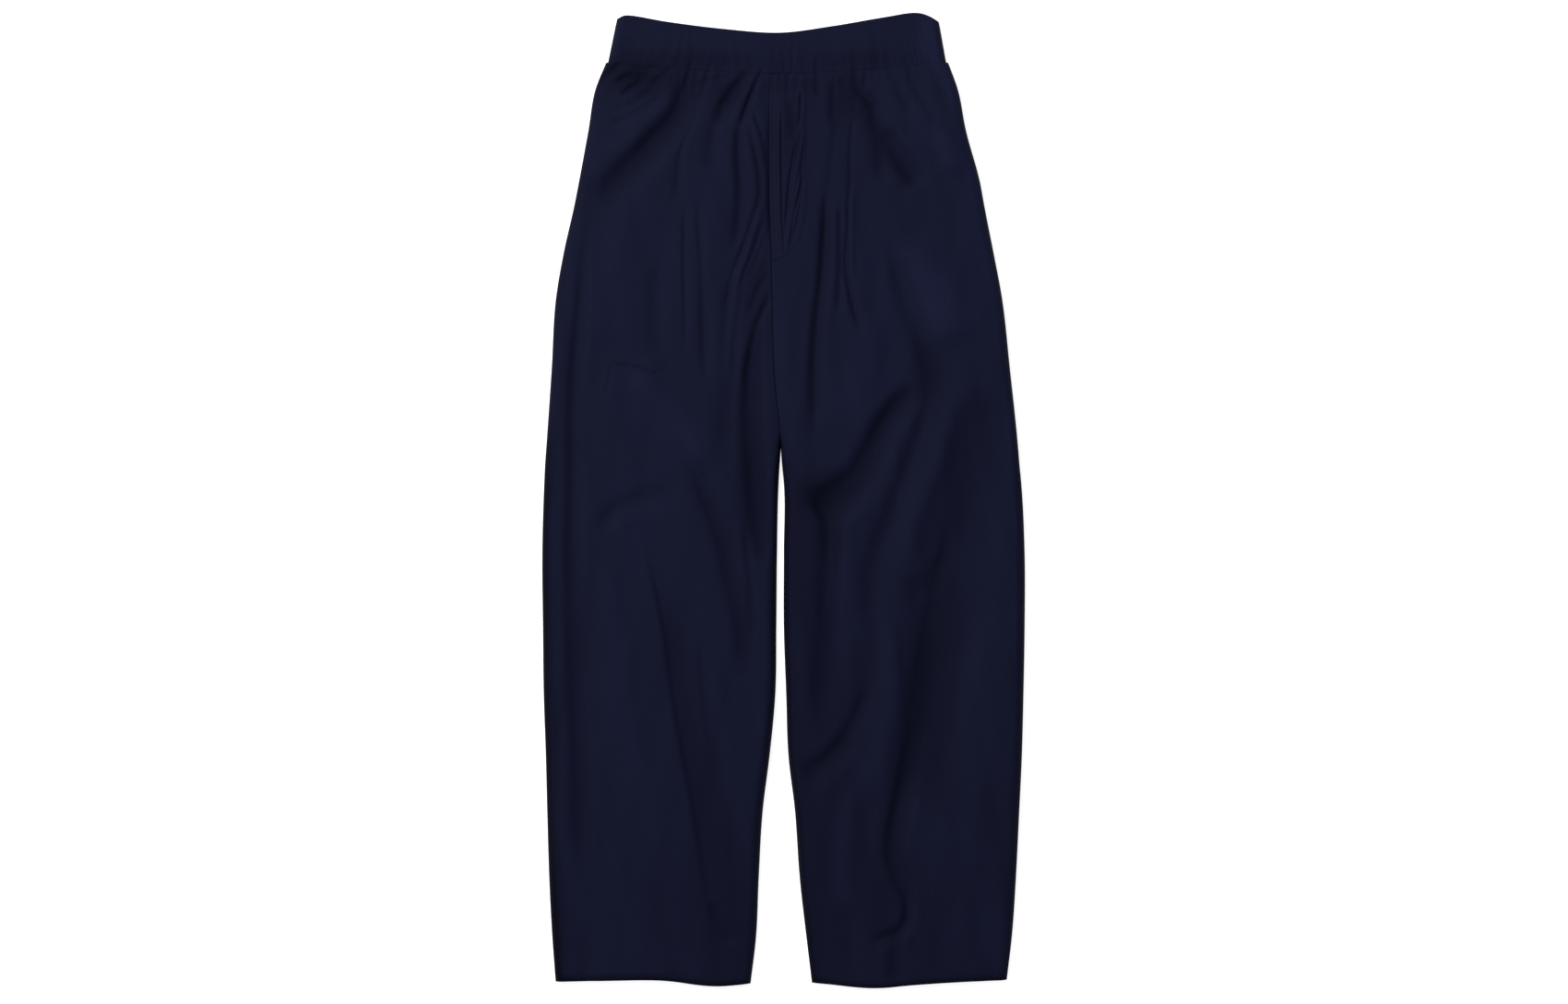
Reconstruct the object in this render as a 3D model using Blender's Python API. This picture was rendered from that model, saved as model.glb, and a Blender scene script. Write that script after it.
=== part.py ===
"""Wide pull-on trousers, laid flat on a surface with the front up.

Metres, +Z up. X runs across the trousers, with the wearer's left at +X. Y runs from the hems to the
waist. Z = 0 is the surface that the backs lie on. The origin is the middle of the underside.
The tables are in millimetres.
"""

from collections import namedtuple
import math

import bpy
import numpy as np

MM = 0.001

# Cloth
CLOTH = 1.2
HEM_CLOTH = 1.6
HEM_DEPTH = 33.0
SEAM_GAP = 0.3
HALF_GAP = SEAM_GAP / 2

# Heights above the surface, outer side of the cloth
SEAM_HEIGHT = 1.8
BODY_HEIGHT = 15.5
PANEL_TOP_HEIGHT = 12.2
HEM_HEIGHT = 12.0
LOWEST_TROUGH = 9.2
TALLEST_RIDGE = 6.5

# Lengths over which the front rises from the waist seam and from the hem to its full height, and
# over which the folds ease away at the edges
WAIST_RISE = 60.0
HEM_RISE = 150.0
EDGE_EASE = 14.0
WAIST_EASE = 26.0
WAIST_RELIEF = 0.2

# Rolled sides, where the front turns over to meet the back
FRONT_ROLL = 10.0
BACK_ROLL = 2.0
ROLL_ANGLES = (0.0, 35.0, 65.0, 90.0)

# Crotch: above it the fronts lift away from the backs over these lengths
FRONT_LIFT = 65.0
BACK_DROP = 35.0
SEAM_VALLEY_DEPTH = 1.6
SEAM_VALLEY_WIDTH = 9.0

# Waistband
BAND_CLOTH = 3.0
BAND_HEIGHT = 12.9
BAND_BULGE = 0.6
BAND_ROLL = 9.0
BAND_BACK_CLOTH = SEAM_HEIGHT - HALF_GAP
BAND_GATHERS = 38
GATHER_STEPS = 4
GATHER_HEIGHT = 0.6
LOW_GATHER_SHARE = 0.44
GATHER_BEAT = 1.7
GATHER_UNEVENNESS = ((7.3, 0.006), (17.9, 0.0035))
BAND_BACK_STEPS = 24
BAND_BACK_EDGE = (0.0, 0.003, 0.008)
BAND_BACK_ROLL = 1.8
BAND_BACK_UNDER = 0.8
BAND_GATHER_EASE = 6.0

# Mock fly, on the wearer's left front: straight, then a quarter ellipse in to the middle seam
FLY_WIDTH = 38.5
FLY_STRAIGHT_END = 311.0
FLY_CURVE = 63.0
FLY_CURVE_ANGLES = (16.0, 32.0, 47.0, 60.0, 71.0, 80.0, 86.0)
FLY_CLOTH = 1.0
FLY_LIFT = 0.35
FLY_STEPS = 8

# Mesh steps of the panels
FRONT_STEPS = 27
FRONT_ROWS = 42
BACK_STEPS = 5
BACK_ROWS = 19
HEM_STEP_ABOVE = 2.0
HEM_STEP_BELOW = 1.0
TOP_ROW_SHARE = 0.5
INNER_COLUMN_SHARE = 0.78
WAIST_BEND_START = 150.0
HEM_BEND_START = -380.0

Section = namedtuple("Section", "name height right_side right_inner left_inner left_side")
SECTIONS = (
    Section("waist seam", 453.0, -184.1, -15.0, -15.0, 170.8),
    Section("under waist", 427.0, -194.6, -15.0, -15.0, 180.3),
    Section("pocket mouth", 384.0, -202.2, -15.0, -15.0, 188.9),
    Section("pocket end", 327.0, -212.7, -15.0, -15.0, 204.2),
    Section("under pocket", 308.0, -216.4, -14.8, -14.8, 207.6),
    Section("fly end", 258.0, -227.6, -12.6, -12.6, 217.4),
    Section("hip", 212.0, -235.6, -11.6, -11.6, 226.1),
    Section("low hip", 136.0, -240.4, -9.6, -9.6, 234.7),
    Section("crotch", 53.0, -246.1, -2.8, -2.8, 243.3),
    Section("under crotch", 38.0, -247.2, -3.9, -1.7, 244.5),
    Section("thigh", 18.0, -248.1, -5.0, 0.2, 246.4),
    Section("low thigh", -55.0, -250.1, -6.7, 0.2, 249.9),
    Section("above knee", -131.0, -249.4, -7.4, 0.2, 249.9),
    Section("knee", -200.0, -248.6, -8.4, 2.6, 248.7),
    Section("below knee", -265.0, -246.4, -14.5, 5.0, 247.0),
    Section("calf", -320.0, -245.0, -21.4, 11.6, 244.4),
    Section("low calf", -390.0, -242.9, -25.6, 16.6, 240.9),
    Section("above hem", -455.0, -239.5, -28.6, 23.8, 236.4),
    Section("hem", -500.0, -236.2, -34.0, 29.2, 231.2),
)
CROTCH_HEIGHT = 53.0

Waist = namedtuple("Waist", "name low_x low_y top_x top_y")
WAIST = (
    Waist("right side", -182.0, 453.0, -172.6, 499.0),
    Waist("right corner", -170.0, 451.8, -158.0, 501.2),
    Waist("right hip", -128.0, 447.6, -118.0, 494.4),
    Waist("right front", -66.0, 443.0, -60.0, 487.2),
    Waist("middle", -6.0, 441.2, -4.0, 483.5),
    Waist("left front", 54.0, 443.4, 50.0, 490.2),
    Waist("left hip", 116.0, 447.8, 104.0, 499.4),
    Waist("left corner", 150.0, 451.2, 138.0, 503.9),
    Waist("left side", 168.6, 453.0, 161.0, 496.0),
)

Hem = namedtuple("Hem", "name x y")
HEMS = (
    Hem("right outer end", -236.0, -497.6),
    Hem("right outer third", -180.0, -496.4),
    Hem("right middle", -128.0, -496.2),
    Hem("right dip", -66.0, -502.2),
    Hem("right inner end", -34.0, -499.6),
    Hem("left inner end", 29.0, -498.8),
    Hem("left dip", 94.0, -504.0),
    Hem("left middle", 142.0, -500.4),
    Hem("left outer third", 196.0, -497.2),
    Hem("left outer end", 231.0, -495.8),
)

# Folds that show from a step away. A path is its bottom line, as x and y. Width is the trough's full
# width, depth is below the cloth around it, and a negative depth is a ridge.
Fold = namedtuple("Fold", "name width depth path")
FOLDS = (
    Fold("right hip drag", 26, 6.4, ((-96, 474), (-106, 417), (-122, 383), (-152, 357), (-198, 314))),
    Fold("right outer tuck", 19, 4.8, ((-34, 462), (-62, 422), (-75, 405), (-85, 366))),
    Fold("right inner tuck", 16, 5.3, ((-16, 462), (-40, 411), (-51, 380), (-50, 320), (-49, 250))),
    Fold("beside the fly", 15, -3.4, ((-24, 330), (-36, 262), (-48, 205), (-56, 100))),
    Fold("right crotch trough", 17, 6.2, ((-26, 225), (-37, 170), (-43, 115), (-44, 60), (-34, -60))),
    Fold("right thigh line", 14, 3.1, ((-85, 310), (-87, 211), (-83, 118))),
    Fold("right thigh line 2", 13, 2.5, ((-104, 312), (-104, 240), (-105, 150))),
    Fold("right front swell", 26, 3.6, ((-61, 250), (-62, 143), (-68, -20))),
    Fold("right inner knee", 24, 5.6, ((-101, 46), (-74, -4), (-59, -66), (-51, -116), (-44, -176))),
    Fold("right shin crease", 15, 3.6, ((-147, -20), (-132, -96), (-106, -229), (-88, -318), (-68, -462))),
    Fold("right shin line", 13, 2.0, ((-88, -135), (-79, -226), (-64, -325))),
    Fold("right side groove", 26, 3.6, ((-200, 318), (-216, 205), (-224, 98), (-226, -90), (-216, -340))),
    Fold("right thigh band", 26, 2.5, ((-192, -18), (-159, 12), (-112, 27))),
    Fold("right thigh bulge", 48, -4.5, ((-152, 138), (-109, 83), (-72, 8))),
    Fold("right hip bulge", 30, -3.1, ((-186, 398), (-150, 405), (-124, 424))),
    Fold("left inner pleat", 16, 5.9, ((52, 410), (42, 300), (36, 225), (27, 165), (25, 110), (28, 58))),
    Fold("left outer pleat", 15, 4.5, ((72, 440), (68, 311), (64, 240), (68, 212), (80, 160))),
    Fold("left pleat between", 12, -2.8, ((64, 330), (61, 262), (60, 190))),
    Fold("left hip line", 17, 4.2, ((73, 474), (78, 422), (90, 385), (97, 325))),
    Fold("left hip dash", 19, 5.9, ((96, 394), (108, 363), (122, 342), (142, 312))),
    Fold("left drag to hip", 28, 4.5, ((100, 300), (116, 227), (130, 186), (150, 122))),
    Fold("left thigh drag", 27, 4.5, ((152, 140), (130, 52), (88, -42), (66, -176))),
    Fold("left crotch drag", 27, 6.4, ((134, 136), (102, 99), (84, 58), (58, 20), (18, 0))),
    Fold("left inner line", 19, 4.2, ((34, 8), (38, -74), (35, -141), (25, -225))),
    Fold("left outer swell", 40, 4.2, ((180, 146), (190, 60), (177, -7), (160, -69), (142, -150))),
    Fold("left shin drag", 24, 6.2, ((146, -100), (139, -184), (120, -276), (106, -345), (112, -412))),
    Fold("left hem hook", 17, 4.8, ((120, -390), (126, -430), (112, -446), (84, -452))),
    Fold("left hem line", 15, 2.8, ((112, -450), (109, -505))),
    Fold("left knee drag", 18, 4.2, ((86, -176), (62, -236), (41, -265), (14, -277))),
    Fold("left thigh ridge", 22, -3.6, ((128, 112), (106, 40), (76, -8), (64, -60), (66, -125))),
    Fold("left outer ridge", 24, -3.6, ((166, 126), (156, 54), (126, -21), (112, -110))),
    Fold("left hip bulge", 52, -4.2, ((110, 276), (146, 212), (166, 166))),
    Fold("waist gather 1", 12, 2.5, ((31, 470), (31, 415))),
    Fold("waist gather 2", 13, 2.5, ((52, 462), (49, 370))),
    Fold("waist gather 3", 14, 2.5, ((100, 470), (123, 416), (138, 384))),
    Fold("waist gather 4", 14, 2.5, ((122, 466), (148, 399), (162, 366))),
    Fold("waist gather 5", 14, 2.2, ((143, 470), (166, 408))),
    Fold("waist gather 6", 14, 2.5, ((-132, 452), (-152, 434), (-174, 424))),
    Fold("waist gather 7", 13, 2.2, ((-68, 466), (-88, 412))),
    Fold("waist gather 8", 13, 2.0, ((-118, 470), (-128, 420))),
)
FOLD_BANK = 1.3
FOLD_END = 0.24
FOLD_PATH_STEPS = 20

# Soft swells of the whole cloth between its folds, as height and wavelengths along x and y
Swell = namedtuple("Swell", "height x_length y_length phase")
SWELLS = (
    Swell(0.5, 132.0, 310.0, 0.6),
    Swell(0.4, 91.0, -243.0, 2.1),
)

# Cloth: very dark navy, smooth and matt
NAVY = (0.008, 0.009, 0.024, 1.0)
FLY_NAVY = (0.009, 0.010, 0.026, 1.0)
ROUGHNESS = 0.85
SHARP_ANGLE = math.radians(75)


def smooth_step(value):
    """Eases from 0 to 1 while value goes from 0 to 1."""
    t = np.clip(value, 0.0, 1.0)
    return t * t * (3.0 - 2.0 * t)


def quarter_round(value):
    """Rises from 0 to 1 as a quarter circle while value goes from 0 to 1."""
    t = np.clip(value, 0.0, 1.0)
    return np.sqrt(np.maximum(0.0, 1.0 - (1.0 - t) ** 2))


def smooth_curve(knots, values, at):
    """Cubic curve through (knots, values), with the mean of the neighbouring slopes at each knot."""
    knots = np.asarray(knots, dtype=float)
    values = np.asarray(values, dtype=float)
    if knots[0] > knots[-1]:
        knots = knots[::-1]
        values = values[::-1]
    slopes = np.gradient(values, knots)
    at = np.clip(at, knots[0], knots[-1])
    k = np.clip(np.searchsorted(knots, at) - 1, 0, len(knots) - 2)
    step = knots[k + 1] - knots[k]
    t = (at - knots[k]) / step
    start = (1 + 2 * t) * (1 - t) ** 2 * values[k] + t * (1 - t) ** 2 * step * slopes[k]
    end = t * t * (3 - 2 * t) * values[k + 1] + t * t * (t - 1) * step * slopes[k + 1]
    return start + end


def section_edge(column, y):
    """X of one edge of the panels at each y."""
    heights = [section.height for section in SECTIONS]
    edges = [getattr(section, column) for section in SECTIONS]
    return smooth_curve(heights, edges, y)


def inner_edge(toward_side, y):
    """X of a panel's inner edge: the middle seam above the crotch, and its own inseam below."""
    right = section_edge("right_inner", y)
    left = section_edge("left_inner", y)
    half = np.where(y > CROTCH_HEIGHT, HALF_GAP, np.maximum(HALF_GAP, 0.5 * (left - right)))
    return 0.5 * (left + right) + toward_side * half


def waist_seam(x):
    """Y of the seam between waistband and panels at each x."""
    return smooth_curve([w.low_x for w in WAIST], [w.low_y for w in WAIST], x)


def hem_edge(x):
    """Y of the hems' lower edge at each x."""
    return smooth_curve([hem.x for hem in HEMS], [hem.y for hem in HEMS], x)


def fold_path(points):
    """Evenly spaced points on a smooth curve through the fold's own points."""
    points = np.array(points, dtype=float)
    length = np.concatenate([[0.0], np.cumsum(np.hypot(*np.diff(points, axis=0).T))])
    at = np.linspace(0.0, length[-1], FOLD_PATH_STEPS)
    return smooth_curve(length, points[:, 0], at), smooth_curve(length, points[:, 1], at)


def fold_lift(fold, x, y):
    """Height that one fold adds: a rounded trough with low banks, which fades at its two ends."""
    path_x, path_y = fold_path(fold.path)
    nearest = np.full(x.shape, np.inf)
    share = np.zeros(x.shape)
    pieces = len(path_x) - 1
    for i in range(pieces):
        run_x = path_x[i + 1] - path_x[i]
        run_y = path_y[i + 1] - path_y[i]
        along = ((x - path_x[i]) * run_x + (y - path_y[i]) * run_y) / (run_x ** 2 + run_y ** 2)
        along = np.clip(along, 0.0, 1.0)
        away = np.hypot(x - path_x[i] - along * run_x, y - path_y[i] - along * run_y)
        closer = away < nearest
        nearest = np.where(closer, away, nearest)
        share = np.where(closer, (i + along) / pieces, share)
    spread = nearest / (0.5 * fold.width * math.sqrt(FOLD_BANK))
    ends = smooth_step(share / FOLD_END) * smooth_step((1.0 - share) / FOLD_END)
    return -fold.depth * ends * (1.0 - FOLD_BANK * spread ** 2) * np.exp(-spread ** 2)


def relief(x, y):
    """Height that all folds and swells add at each point."""
    lift = np.zeros(x.shape)
    for fold in FOLDS:
        lift = lift + fold_lift(fold, x, y)
    for swell in SWELLS:
        turn = 2 * math.pi * (x / swell.x_length + y / swell.y_length)
        lift = lift + swell.height * np.sin(turn + swell.phase)
    return lift


def front_height(x, y, edge_y, side_gap, inner_gap):
    """Outer height of a front: rolled edges, a level middle, and the folds, held off the back."""
    below_waist = waist_seam(x) - y
    above_hem = y - hem_edge(x)
    level = BODY_HEIGHT + (PANEL_TOP_HEIGHT - BODY_HEIGHT) * (1.0 - smooth_step(below_waist / WAIST_RISE))
    level = level + (HEM_HEIGHT - BODY_HEIGHT) * (1.0 - smooth_step(above_hem / HEM_RISE))
    lift_off = smooth_step((edge_y - CROTCH_HEIGHT) / FRONT_LIFT)
    inner_roll = lift_off + (1.0 - lift_off) * quarter_round(inner_gap / FRONT_ROLL)
    roll = quarter_round(side_gap / FRONT_ROLL) * inner_roll
    lift = relief(x, y) - SEAM_VALLEY_DEPTH * lift_off * np.exp(-(inner_gap / SEAM_VALLEY_WIDTH) ** 2)
    inner_ease = lift_off + (1.0 - lift_off) * smooth_step(inner_gap / EDGE_EASE)
    lift = lift * smooth_step(side_gap / EDGE_EASE) * inner_ease
    lift = lift * (WAIST_RELIEF + (1.0 - WAIST_RELIEF) * smooth_step(below_waist / WAIST_EASE))
    room_below = level - LOWEST_TROUGH
    sunk = room_below * np.tanh(lift / room_below)
    raised = TALLEST_RIDGE * np.tanh(lift / TALLEST_RIDGE)
    start = SEAM_HEIGHT + HALF_GAP
    return start + (level - start) * roll + np.where(lift < 0, sunk, raised)


def back_height(edge_y, side_gap, inner_gap):
    """Outer height of a back: flat on the surface, rolled up at its seams."""
    drop = smooth_step((edge_y - CROTCH_HEIGHT) / BACK_DROP)
    side = 1.0 - quarter_round(side_gap / BACK_ROLL)
    inner = (1.0 - drop) * (1.0 - quarter_round(inner_gap / BACK_ROLL))
    return (SEAM_HEIGHT - HALF_GAP) * np.maximum(side, inner)


def rolled_columns(width, roll, steps):
    """Distances from the side across a row: close at the rolled edges, closer at the inner half."""
    edge = roll * (1.0 - np.cos(np.radians(ROLL_ANGLES)))
    even = np.linspace(0.0, 1.0, steps + 1)[1:-1]
    bent = 1.0 - (INNER_COLUMN_SHARE * (1.0 - even) + (1.0 - INNER_COLUMN_SHARE) * (1.0 - even) ** 2)
    middle = roll + (width - 2 * roll)[:, None] * bent[None, :]
    rows = len(width)
    side = np.tile(edge, (rows, 1))
    inner = width[:, None] - np.tile(edge[::-1], (rows, 1))
    return np.hstack([side, middle, inner])


def row_heights(rows):
    """Heights of the rows at the side seam: closer near the waist, with a step at the hem's fold."""
    even = np.linspace(0.0, 1.0, rows)
    top = SECTIONS[0].height
    bottom = SECTIONS[-1].height
    hem_top = bottom + HEM_DEPTH
    spread = TOP_ROW_SHARE * even + (1.0 - TOP_ROW_SHARE) * even ** 2
    body = top + (hem_top + HEM_STEP_ABOVE - top) * spread
    hem_middle = 0.5 * (bottom + hem_top)
    return np.concatenate([body, [hem_top - HEM_STEP_BELOW, hem_middle, bottom]])


def panel_grid(side, roll, steps, rows):
    """Points of a panel seen from above, with their distances to both edges."""
    edge_y = row_heights(rows)
    side_x = section_edge(side, edge_y)
    toward_side = np.sign(side_x[0])
    inner_x = inner_edge(toward_side, edge_y)
    width = np.abs(inner_x - side_x)
    gaps = rolled_columns(width, roll, steps)
    x = side_x[:, None] - toward_side * gaps
    edge_y = np.tile(edge_y[:, None], (1, gaps.shape[1]))
    top = SECTIONS[0].height
    bottom = SECTIONS[-1].height
    waist_share = smooth_step((edge_y - WAIST_BEND_START) / (top - WAIST_BEND_START))
    hem_share = smooth_step((HEM_BEND_START - edge_y) / (HEM_BEND_START - bottom))
    y = edge_y + waist_share * (waist_seam(x) - SEAM_GAP - top) + hem_share * (hem_edge(x) - bottom)
    return x, y, edge_y, gaps, width[:, None] - gaps, toward_side


def surface_normals(points, up):
    """Unit normals of a grid of points, pointing up or down."""
    across = np.gradient(points, axis=1)
    down = np.gradient(points, axis=0)
    normals = np.cross(across, down)
    normals = normals / np.linalg.norm(normals, axis=2, keepdims=True)
    flip = np.sign(normals[:, :, 2:3]) * up
    return normals * np.where(flip == 0, 1.0, flip)


def edge_normals(normals, edge_y, toward_side, up, lift):
    """Turns the normals on the seams so that the wall's cut edges meet the next piece squarely."""
    above = smooth_step((edge_y[:, 0] - CROTCH_HEIGHT) / lift)[:, None]
    level = np.array([toward_side, 0.0, 0.0])
    upright = np.array([0.0, 0.0, up])
    normals[:, 0] = level
    turned = above * upright - (1.0 - above) * level
    normals[:, -1] = turned / np.linalg.norm(turned, axis=1, keepdims=True)
    for row in (0, -1):
        normals[row, :, 1] = 0.0
        normals[row] = normals[row] / np.linalg.norm(normals[row], axis=1, keepdims=True)
    return normals


def grid_faces(rows, columns, start):
    """Quads of a grid whose points are numbered row by row."""
    first = np.arange(rows - 1)[:, None] * columns + np.arange(columns - 1)[None, :] + start
    first = first.ravel()
    return np.stack([first, first + 1, first + 1 + columns, first + columns], axis=1)


def border_loop(rows, columns):
    """Numbers of the points round the edge of a grid, in order."""
    top = np.arange(columns - 1)
    right = np.arange(rows - 1) * columns + columns - 1
    bottom = (rows - 1) * columns + np.arange(columns - 1, 0, -1)
    left = np.arange(rows - 1, 0, -1) * columns
    return np.concatenate([top, right, bottom, left])


def add_wall(name, outer, inner, color, parent):
    """Closed wall between two grids of points in millimetres, as one object."""
    rows, columns = outer.shape[:2]
    count = rows * columns
    outer_faces = grid_faces(rows, columns, 0)
    inner_faces = grid_faces(rows, columns, count)[:, ::-1]
    loop = border_loop(rows, columns)
    following = np.roll(loop, -1)
    rim = np.stack([following, loop, loop + count, following + count], axis=1)
    faces = np.vstack([outer_faces, inner_faces, rim])
    points = np.concatenate([outer.reshape(-1, 3), inner.reshape(-1, 3)]) * MM
    middle = (outer - inner)[rows // 2, columns // 2]
    first = outer[rows // 2, columns // 2 + 1] - outer[rows // 2, columns // 2]
    second = outer[rows // 2 + 1, columns // 2] - outer[rows // 2, columns // 2]
    if np.dot(np.cross(first, second), middle) < 0:
        faces = faces[:, ::-1]
    mesh = bpy.data.meshes.new(name)
    mesh.from_pydata(points.tolist(), [], faces.tolist())
    mesh.update()
    mesh.shade_smooth()
    mesh.set_sharp_from_angle(angle=SHARP_ANGLE)
    mesh.materials.append(cloth_material(name + "_cloth", color))
    piece = bpy.data.objects.new(name, mesh)
    piece.parent = parent
    bpy.context.collection.objects.link(piece)
    return piece


def cloth_material(name, color):
    """Matt dark cloth."""
    material = bpy.data.materials.new(name)
    material.use_nodes = True
    shader = material.node_tree.nodes["Principled BSDF"]
    shader.inputs["Base Color"].default_value = color
    shader.inputs["Roughness"].default_value = ROUGHNESS
    shader.inputs["Metallic"].default_value = 0.0
    return material


def wall_thickness(edge_y, columns):
    """Cloth thickness of each point: double cloth in the hem."""
    in_hem = edge_y[:, :1] < SECTIONS[-1].height + HEM_DEPTH
    return np.tile(np.where(in_hem, HEM_CLOTH, CLOTH), (1, columns))[:, :, None]


def front_points(side):
    """Outer and inner points of a front panel."""
    x, y, edge_y, side_gap, inner_gap, toward_side = panel_grid(side, FRONT_ROLL, FRONT_STEPS, FRONT_ROWS)
    z = front_height(x, y, edge_y, side_gap, inner_gap)
    outer = np.stack([x, y, z], axis=2)
    normals = edge_normals(surface_normals(outer, 1.0), edge_y, toward_side, 1.0, FRONT_LIFT)
    return outer, outer - normals * wall_thickness(edge_y, x.shape[1])


def back_points(side):
    """Outer and inner points of a back panel."""
    x, y, edge_y, side_gap, inner_gap, toward_side = panel_grid(side, BACK_ROLL, BACK_STEPS, BACK_ROWS)
    z = back_height(edge_y, side_gap, inner_gap)
    outer = np.stack([x, y, z], axis=2)
    normals = edge_normals(surface_normals(outer, -1.0), edge_y, toward_side, -1.0, BACK_DROP)
    return outer, outer - normals * wall_thickness(edge_y, x.shape[1])


def gather_columns():
    """Places across the waistband, from 0 to 1, with equal steps in each of its uneven gathers."""
    fine = np.linspace(0.0, 1.0, 2000)
    phase = fine.copy()
    for waves, shift in GATHER_UNEVENNESS:
        phase = phase + shift * np.sin(2 * math.pi * waves * fine)
    phase = phase * BAND_GATHERS / phase[-1]
    steps = np.linspace(0.0, BAND_GATHERS, BAND_GATHERS * GATHER_STEPS + 1)
    return np.interp(steps, phase, fine), steps


def band_plan(across, up):
    """X and y of waistband points, from shares across and up the band."""
    stations = np.linspace(0.0, 1.0, len(WAIST))
    low_x = smooth_curve(stations, [w.low_x for w in WAIST], across)
    low_y = smooth_curve(stations, [w.low_y for w in WAIST], across)
    top_x = smooth_curve(stations, [w.top_x for w in WAIST], across)
    top_y = smooth_curve(stations, [w.top_y for w in WAIST], across)
    return low_x + (top_x - low_x) * up, low_y + (top_y - low_y) * up


def band_front_points():
    """Front half of the waistband: gathers raised on its outer side, plain inside."""
    across, phase = gather_columns()
    up = np.array([0.0, 0.5, 1.0])[:, None]
    x, y = band_plan(across[None, :], up)
    side_gap = np.minimum(x - x[:, :1], x[:, -1:] - x)
    start = SEAM_HEIGHT + HALF_GAP
    level = BAND_HEIGHT + BAND_BULGE * np.sin(math.pi * up)
    base = start + (level - start) * quarter_round(side_gap / BAND_ROLL)
    plain = np.stack([x, y, base + 0.0 * x], axis=2)
    normals = surface_normals(plain, 1.0)
    normals[:, 0] = (-1.0, 0.0, 0.0)
    normals[:, -1] = (1.0, 0.0, 0.0)
    normals[:, :, 1] = 0.0
    normals = normals / np.linalg.norm(normals, axis=2, keepdims=True)
    uneven = LOW_GATHER_SHARE + (1.0 - LOW_GATHER_SHARE) * (0.5 + 0.5 * np.sin(GATHER_BEAT * phase))
    height = GATHER_HEIGHT * uneven * (0.5 - 0.5 * np.cos(2 * math.pi * phase))
    height = height[None, :, None] * smooth_step(side_gap / BAND_GATHER_EASE)[:, :, None]
    return plain + normals * height, plain - normals * BAND_CLOTH


def band_back_points():
    """Back half of the waistband, flat on the surface with a flat upper side."""
    across = np.linspace(0.0, 1.0, BAND_BACK_STEPS + 1)
    edge = np.array(BAND_BACK_EDGE)
    across = np.concatenate([edge, across[1:-1], 1.0 - edge[::-1]])
    x, y = band_plan(across[None, :], np.array([0.0, 0.5, 1.0])[:, None])
    side_gap = np.minimum(x - x[:, :1], x[:, -1:] - x)
    under = BAND_BACK_UNDER * BAND_BACK_CLOTH * (1.0 - quarter_round(side_gap / BAND_BACK_ROLL))
    outer = np.stack([x, y, under], axis=2)
    inner = np.stack([x, y, np.full(x.shape, BAND_BACK_CLOTH)], axis=2)
    return outer, inner


def fly_points(panel):
    """The fly lies on the panel: points between the panel's own rows, moved out from them."""
    row_y = panel[::-1, -1, 1]
    straight = panel[panel[:, -1, 1] > FLY_STRAIGHT_END, -1, 1]
    angles = np.radians(FLY_CURVE_ANGLES)
    fly_y = np.concatenate([straight, FLY_STRAIGHT_END - FLY_CURVE * np.sin(angles)])
    widths = FLY_WIDTH * np.concatenate([np.ones(len(straight)), np.cos(angles)])
    place = np.interp(fly_y, row_y, np.arange(len(panel))[::-1])
    share = np.linspace(0.0, 1.0, FLY_STEPS + 1)
    under = []
    for at, width in zip(place, widths):
        first = min(int(at), len(panel) - 2)
        row = panel[first] + (panel[first + 1] - panel[first]) * (at - first)
        row = row[::-1]
        x = row[0, 0] + share * width
        y = np.interp(x, row[:, 0], row[:, 1])
        z = np.interp(x, row[:, 0], row[:, 2])
        under.append(np.stack([x, y, z], axis=1))
    under = np.array(under)
    normals = surface_normals(under, 1.0)
    normals[:, 0] = (0.0, 0.0, 1.0)
    normals[0, :, 1] = 0.0
    normals = normals / np.linalg.norm(normals, axis=2, keepdims=True)
    return under + normals * (FLY_LIFT + FLY_CLOTH), under + normals * FLY_LIFT


def clear_scene():
    for thing in list(bpy.data.objects):
        bpy.data.objects.remove(thing)


def build_trousers():
    clear_scene()
    trousers = bpy.data.objects.new("trousers", None)
    bpy.context.collection.objects.link(trousers)
    for wearer_side in ("right", "left"):
        side = wearer_side + "_side"
        front_outer, front_inner = front_points(side)
        add_wall("front_" + wearer_side, front_outer, front_inner, NAVY, trousers)
        back_outer, back_inner = back_points(side)
        add_wall("back_" + wearer_side, back_outer, back_inner, NAVY, trousers)
        if wearer_side == "left":
            fly_outer, fly_inner = fly_points(front_outer)
            add_wall("fly", fly_outer, fly_inner, FLY_NAVY, trousers)
    add_wall("waistband_front", *band_front_points(), NAVY, trousers)
    add_wall("waistband_back", *band_back_points(), NAVY, trousers)


build_trousers()
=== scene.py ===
"""Wide pull-on trousers in dark navy cloth, laid flat with the front up.

The tables are in millimetres: X runs to the wearer's left, Y from the hems to the waist, Z up from the
surface. Meshes and stages are in metres.
"""

from collections import namedtuple
import math

import bpy
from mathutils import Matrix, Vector
import numpy as np


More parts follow.
